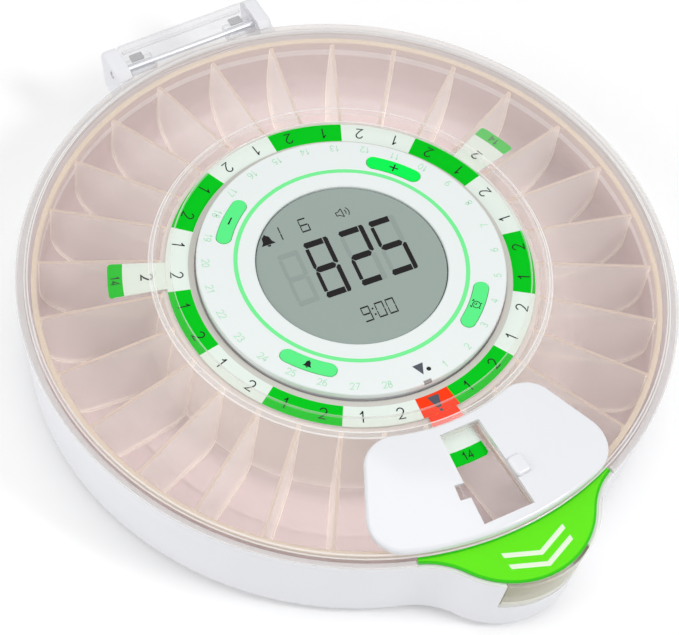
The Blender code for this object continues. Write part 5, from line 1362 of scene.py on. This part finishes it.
def lid_look(middle, normal):
    """Which finish a face of the lid has: 0 cone, 1 over the label, 2 steep wall, 3 flange, 4 leaf,
    5 tongue, in painted shade, 6 the painted highlight lines along its steps, 7 the tongue's lip,
    in a lighter painted shade."""
    angle, radius = polar(middle)
    if middle.y > HINGE_Y - KNUCKLE_R:
        return 4
    if middle.y < -LID_R and middle.z < NOSE_TOP_Z:
        # the tongue in painted shade, its lip in a lighter painted shade
        return 7 if middle.z < TONGUE_LOW_Z + TONGUE_LIP else 5
    steps = (LID_HOLE_R, COLLAR_TOP_R, CONE_IN_R, STEP_TOP_R, STEP_FOOT_R)
    # faces on the rounded step edges take the painted highlight lines
    if LINE_TILTS[0] < normal.z < LINE_TILTS[1] and min(abs(radius - step) for step in steps) < LINE_HALF:
        return 6
    if radius > STEP_FOOT_R - FLANGE_ROUND and abs(angle) < LABEL_SPAN:
        return 1
    if abs(normal.z) < STEEP:
        return 2
    return 3 if radius > STEP_FOOT_R else 0


def lid():
    shell = make("clear_lid", loop_mesh(lid_rings(), True), CLEAR)
    inside = FLANGE_Z + (FLANGE_TOP_Z - FLANGE_Z) / 2
    neck_z = FLANGE_Z - LABEL_THICK - 2 * SEAT_GAP
    join(shell, nose_strip(LABEL_SPAN, 0.0, 0.0, TAB_BORDER, NOSE_TOP_Z + SEAT_GAP, inside))
    join(shell, nose_strip(TONGUE_SPAN, base_inset(neck_z), base_inset(inside), TONGUE_NECK,
                           neck_z - PRINT, inside))
    join(shell, nose_strip(TONGUE_SPAN, base_inset(TONGUE_LOW_Z), base_inset(neck_z), TONGUE_THICK,
                           TONGUE_LOW_Z, neck_z, (0.0, TONGUE_LIP / (neck_z - TONGUE_LOW_Z), 1.0)))
    add_leaf(shell)
    cut(shell, prism(window_points(LID_WINDOW_SLOP), FLANGE_TOP_Z - OVERRUN, CONE_IN_Z + OVERRUN))
    for look in (CLEAR_TAB, CLEAR_WALL, CLEAR_FLANGE, CLEAR_LEAF, CLEAR_TONGUE_SHADE, CLEAR_HIGHLIGHT, CLEAR_LIP_SHADE):
        shell.data.materials.append(look)
    for face in shell.data.polygons:
        face.material_index = lid_look(face.center, face.normal)
    shell.visible_shadow = False
    dress(shell, "lid", "clear_lid", "Lid_Shell")


def add_leaf(shell):
    """The lid's rear leaf, with a stiffening border and the knuckles round the hinge rod."""
    half = EAR_IN_X - SEAT_GAP
    back = EAR_BACK_Y - LEAF_BACK
    corner = EAR_ROUND / 2
    plan = [(-half, LEAF_FRONT_Y), (half, LEAF_FRONT_Y)]
    plan += arc((half - corner, back - corner), corner, 0.0, QUARTER, 6)
    plan += arc((-half + corner, back - corner), corner, QUARTER, pi, 6)
    bottom = FLANGE_TOP_Z - LEAF_THICK + SEAT_GAP / 2
    join(shell, prism(plan, bottom, FLANGE_TOP_Z - SEAT_GAP / 2))
    join(shell, box((-half + corner, back - corner - LEAF_RIB, bottom - LEAF_RIB),
                    (half - corner, back - corner, FLANGE_TOP_Z - LEAF_THICK / 2)))
    for side, word in ((-1, "left"), (1, "right")):
        ends = mirrored(side, half, half - KNUCKLE_WIDTH)
        join(shell, hinge_bar(KNUCKLE_R, (ends[0] + SEAT_GAP / 2, ends[1] - SEAT_GAP / 2)))
        near, far = mirrored(side, *PAD_ENDS)
        pad = make("leaf_pad_" + word, box((near, HINGE_Y + PAD_Y[0], bottom - PAD_THICK),
                                           (far, HINGE_Y + PAD_Y[1], bottom)), CLEAR_PAD)
        bevelled(pad, SEAT_GAP, 2)
        dress(pad, "lid", "clear_lid")
    cut(shell, hinge_bar(ROD_R + ROD_BORE, (-half - OVERRUN, half + OVERRUN)))


def front_label():
    """The label under the lid's front tab, with a deeper green along its edges."""
    outer = TAB_BORDER + SEAT_GAP
    top = FLANGE_Z - SEAT_GAP
    low_z = top - LABEL_THICK
    label = swept(both(LABEL_SPAN - SEAT_GAP / LID_R, NOSE_STEPS),
                  lambda a: ((LABEL_IN_R, low_z), (outline_r(a, outer), low_z), (outline_r(a, outer), top),
                             (outline_r(a, outer + LABEL_EDGE), top), (LABEL_IN_R + LABEL_EDGE, top),
                             (LABEL_IN_R, top)))
    for face in label.faces:
        angle, radius = polar(face.calc_center_median())
        on_edge = radius < LABEL_IN_R + LABEL_EDGE or radius > outline_r(angle, outer + LABEL_EDGE)
        face.material_index = int(on_edge)
    dress(make("front_label", label, LABEL_GREEN, LABEL_DEEP), "lid", "label_green", "Open_Label")
    label_mark(top)


def label_mark(top):
    """A pair of chevrons that point outwards, in place of a word."""
    arms = []
    for reach in CHEVRON_REACHES:
        corners = ((-CHEVRON_HALF, -reach), (0.0, -reach - CHEVRON_RISE), (CHEVRON_HALF, -reach))
        for (x0, y0), (x1, y1) in zip(corners, corners[1:]):
            arms.append(((x0, y0), (x1, y1), (x1, y1 - CHEVRON_WIDTH), (x0, y0 - CHEVRON_WIDTH)))
    dress(make("label_chevrons", printed(arms, top), LABEL_MARK), "lid", "label_green")


def window_points(room):
    corners = ((-WINDOW_IN_HALF - room, WINDOW_IN_R - room), (WINDOW_IN_HALF + room, WINDOW_IN_R - room),
               (WINDOW_OUT_HALF + room, WINDOW_OUT_R + room), (-WINDOW_OUT_HALF - room, WINDOW_OUT_R + room))
    return [Matrix.Rotation(START_TURN, 2) @ Vector((x, -r)) for x, r in corners]


def shutter_left(radius):
    """Angle at which the shutter's left edge meets the window's right edge when the window is open."""
    share = (radius - WINDOW_IN_R) / (WINDOW_OUT_R - WINDOW_IN_R)
    half = WINDOW_IN_HALF + (WINDOW_OUT_HALF - WINDOW_IN_HALF) * share
    return asin((half + SEAT_GAP) / radius) - SHUTTER_TURN


def window_cover():
    """The white plate, with the window, the pocket that the shutter slides in and its knob's slot."""
    plate = sector(START_TURN, COVER_SPAN, (COVER_IN_R, COVER_OUT_R), (COVER_IN_CORNER, COVER_OUT_CORNER),
                   COVER_STEPS, on_cone(SEAT_GAP, SEAT_GAP + COVER_PLATE))
    cover = make("window_plate", bevel_top(plate, COVER_EDGE, 4), GLOSS_WHITE)
    room_low = min(shutter_left(SHUTTER_IN_R), shutter_left(SHUTTER_OUT_R)) - SHUTTER_SIDE
    room_high = SHUTTER_TURN + SHUTTER_SPAN + SHUTTER_SIDE
    cut(cover, block(spread(START_TURN + room_low, START_TURN + room_high, SLOT_STEPS),
                     (SHUTTER_IN_R - RUN_GAP, SHUTTER_OUT_R + RUN_GAP),
                     on_cone(-OVERRUN, SEAT_GAP + SHUTTER_THICK + SEAT_GAP)))
    cut(cover, prism(window_points(0.0), FLANGE_TOP_Z, COLLAR_TOP_Z + COVER_PLATE + OVERRUN))
    slot_low = KNOB_TURN - KNOB_SPAN - KNOB_ROOM / KNOB_IN_R
    slot_high = SHUTTER_TURN + KNOB_TURN + KNOB_SPAN + PRINT / KNOB_IN_R
    cut(cover, block(spread(START_TURN + slot_low, START_TURN + slot_high, SLOT_STEPS),
                     (STEM_RADII[0] - SEAT_GAP, STEM_RADII[1] + SEAT_GAP),
                     on_cone(-OVERRUN, COVER_PLATE + OVERRUN)))
    cover.visible_shadow = False
    dress(cover, "lid", "white_window", "Window_Cover")


def window_shutter():
    turn = START_TURN + SHUTTER_TURN
    radii = spread(SHUTTER_IN_R, SHUTTER_OUT_R, 8)
    loops = []
    for share in spread(0.0, 1.0, 16):
        angles = [turn + shutter_left(r) + (SHUTTER_SPAN - shutter_left(r)) * share for r in radii]
        lower, upper = ([spot(a, r, cone_z(r) + rise) for a, r in zip(angles, radii)]
                        for rise in (SEAT_GAP, SEAT_GAP + SHUTTER_THICK))
        loops.append(lower + list(reversed(upper)))
    shutter = make("window_slide", loop_mesh(loops, False), GLOSS_WHITE)
    place = turn + KNOB_TURN
    join(shutter, block(spread(place - KNOB_SPAN * STEM_SHARE, place + KNOB_SPAN, 4), STEM_RADII,
                        on_cone(SEAT_GAP + SHUTTER_THICK / 2, SEAT_GAP + COVER_PLATE + CAP_RISE / 2)))
    dress(shutter, "shutter", "white_window", "Window_Shutter")
    cap_low = SEAT_GAP + COVER_PLATE + CAP_GAP
    cap = sector(place + (CAP_TURNS[0] + CAP_TURNS[1]) / 2, (CAP_TURNS[1] - CAP_TURNS[0]) / 2, CAP_RADII,
                 (CAP_RISE, CAP_RISE), 10, on_cone(cap_low, cap_low + CAP_RISE))
    grip = make("window_slide_grip", bevel_top(cap, CAP_EDGE, 6), GLOSS_WHITE)
    dress(grip, "shutter", "white_window")


# Screws and hidden pieces

def screw(name, node, place, slot_turn):
    """A pan-head screw seen from below, with a cross recess in its head."""
    head_z = low(node).z
    rise = head_z + SCREW_HEAD_HEIGHT
    rings = ((SCREW_HEAD_R * 0.55, head_z), (SCREW_HEAD_R * 0.85, head_z + SEAT_GAP / 2),
             (SCREW_HEAD_R, head_z + SEAT_GAP * 2), (SCREW_HEAD_R, rise), (SCREW_R, rise),
             (SCREW_R, high(node).z))
    made = make(name, stack(place, rings), STEEL)
    for turn in (slot_turn, slot_turn + QUARTER):
        arm = box((-RECESS_HALF, -RECESS_WIDTH / 2, head_z - OVERRUN),
                  (RECESS_HALF, RECESS_WIDTH / 2, head_z + RECESS_DEPTH))
        bmesh.ops.translate(turned(arm, turn), verts=arm.verts, vec=(*place, 0.0))
        cut(made, arm)
    dress(made, "base", "steel", node)


def screws():
    places = spots(COVER_SCREW_ANGLES, COVER_SCREW_ORBIT)
    for number, (place, turn) in enumerate(zip(places, COVER_SCREW_TURNS), 1):
        screw("cover_fixing_%d" % number, "Cover_Screw_%d" % number, place, radians(turn))
    middle = (low("Door_Screw") + high("Door_Screw")) / 2
    screw("door_fixing", "Door_Screw", middle.xy, DOOR_SCREW_TURN)


def dress_cad_nodes():
    """Finishes of the CAD pieces that stay as they are."""
    looks = {"Bottom_Cover": WHITE, "Battery_Door": WHITE, "Circuit_Board": BOARD, "Buzzer": DARK,
             "Display_Panel": SCREEN, "Gear_Motor": STEEL, "Drive_Shaft": STEEL, "Drive_Pinion": NATURAL}
    for name in frame["nodes"]:
        if name.startswith("Battery_Cell"):
            looks[name] = CELL
        if name.startswith(("Battery_Contact", "Board_Screw", "Key_Switch")):
            looks[name] = STEEL
    for name, look in looks.items():
        node = frame["nodes"][name]
        node.data.materials.clear()
        node.data.materials.append(look)
    for name in ("Bottom_Cover", "Battery_Door"):
        bevelled(frame["nodes"][name], SEAT_GAP, 2)


# Floor, light and camera

def seen_directly(tree):
    """1 for sight from the camera, also by way of a reflection or through clear plastic, and 0 for light."""
    path = add(tree, "LightPath", {})
    value = path["Is Camera Ray"]
    for name in ("Is Glossy Ray", "Is Transmission Ray"):
        value = add(tree, "Math", {0: value, 1: path[name]}, operation="MAXIMUM")["Value"]
    return value


def floor():
    """A pale table top that shows pure white to the camera where no shadow falls on it.

    The lamps reach less of it far from the object, so its own glow grows there.
    """
    shape = bmesh.new()
    bmesh.ops.create_grid(shape, x_segments=1, y_segments=1, size=FLOOR_REACH)
    made, tree, shader = material("floor_white", FLOOR_WHITE)
    place = add(tree, "TexCoord", {})["Object"]
    distance = add(tree, "VectorMath", {0: place}, operation="LENGTH")["Value"]
    glow = add(tree, "MapRange", {"From Min": FLOOR_NEAR, "From Max": FLOOR_FAR, "To Min": FLOOR_GLOW[0],
                                  "To Max": FLOOR_GLOW[1], "Value": distance})["Result"]
    lift = add(tree, "Math", {0: seen_directly(tree), 1: glow}, operation="MULTIPLY")["Value"]
    feed(tree, shader, {"Base Color": (*FLOOR_WHITE, 1.0), "Roughness": 0.9, "Specular IOR Level": 0.0,
                        "Emission Color": (1.0, 1.0, 1.0, 1.0), "Emission Strength": lift})
    table = make("floor", shape, made)
    table.location.z = -PRINT


def world():
    made = bpy.data.worlds.new("studio")
    bpy.context.scene.world = made
    made.use_nodes = True
    tree = made.node_tree
    share = {"To Min": SKY_LIGHT, "To Max": 1.0, "Value": seen_directly(tree)}
    strength = add(tree, "MapRange", share)["Result"]
    feed(tree, tree.nodes["Background"], {"Strength": strength, "Color": (1.0, 1.0, 1.0, 1.0)})


def lamp(name, place, size, power):
    """A round soft light that points at the middle of the table."""
    data = bpy.data.lights.new(name, "AREA")
    data.shape = "DISK"
    data.size = size
    data.energy = power
    made = linked(name, data)
    made.location = place
    made.rotation_euler = (-Vector(place)).to_track_quat("-Z", "Y").to_euler()


def camera():
    """The photograph's view, with the small roll that the camera had."""
    back = Vector((sin(VIEW_AZIMUTH) * cos(VIEW_ELEVATION), -cos(VIEW_AZIMUTH) * cos(VIEW_ELEVATION),
                   sin(VIEW_ELEVATION)))
    level = Vector((cos(VIEW_AZIMUTH), sin(VIEW_AZIMUTH), 0.0))
    upright = back.cross(level)
    across = cos(VIEW_ROLL) * level + sin(VIEW_ROLL) * upright
    up = cos(VIEW_ROLL) * upright - sin(VIEW_ROLL) * level
    data = bpy.data.cameras.new("photo_camera")
    data.sensor_width = SENSOR
    data.lens = FOCAL_PIXELS / IMAGE_WIDTH * SENSOR
    data.clip_start = 0.01
    made = linked("photo_camera", data)
    facing = Matrix((across, up, back)).transposed().to_4x4()
    made.matrix_world = Matrix.Translation(HUB + Vector(VIEW_PLACE)) @ facing
    bpy.context.scene.camera = made


def clear_defaults():
    """Removes the cube, lamp and camera that a new Blender scene starts with."""
    for name in ("Cube", "Light", "Camera"):
        if name in bpy.data.objects:
            bpy.data.objects.remove(bpy.data.objects[name], do_unlink=True)


def main():
    clear_defaults()
    camera()
    floor()
    world()
    for name, place, size, power in LAMPS:
        lamp(name, place, size, power)
    bpy.context.scene.view_settings.view_transform = "Standard"
    bpy.context.scene.cycles.transparent_max_bounces = CLEAR_LAYERS
    for part in (base_tub, hinge_pin, feet, face_plate, buttons, face_marks, alarm_lamp, display, tray, card,
                 lid, front_label, window_cover, window_shutter, screws, dress_cad_nodes):
        part()


def write_sizes():
    bpy.context.view_layer.update()


main()
write_sizes()
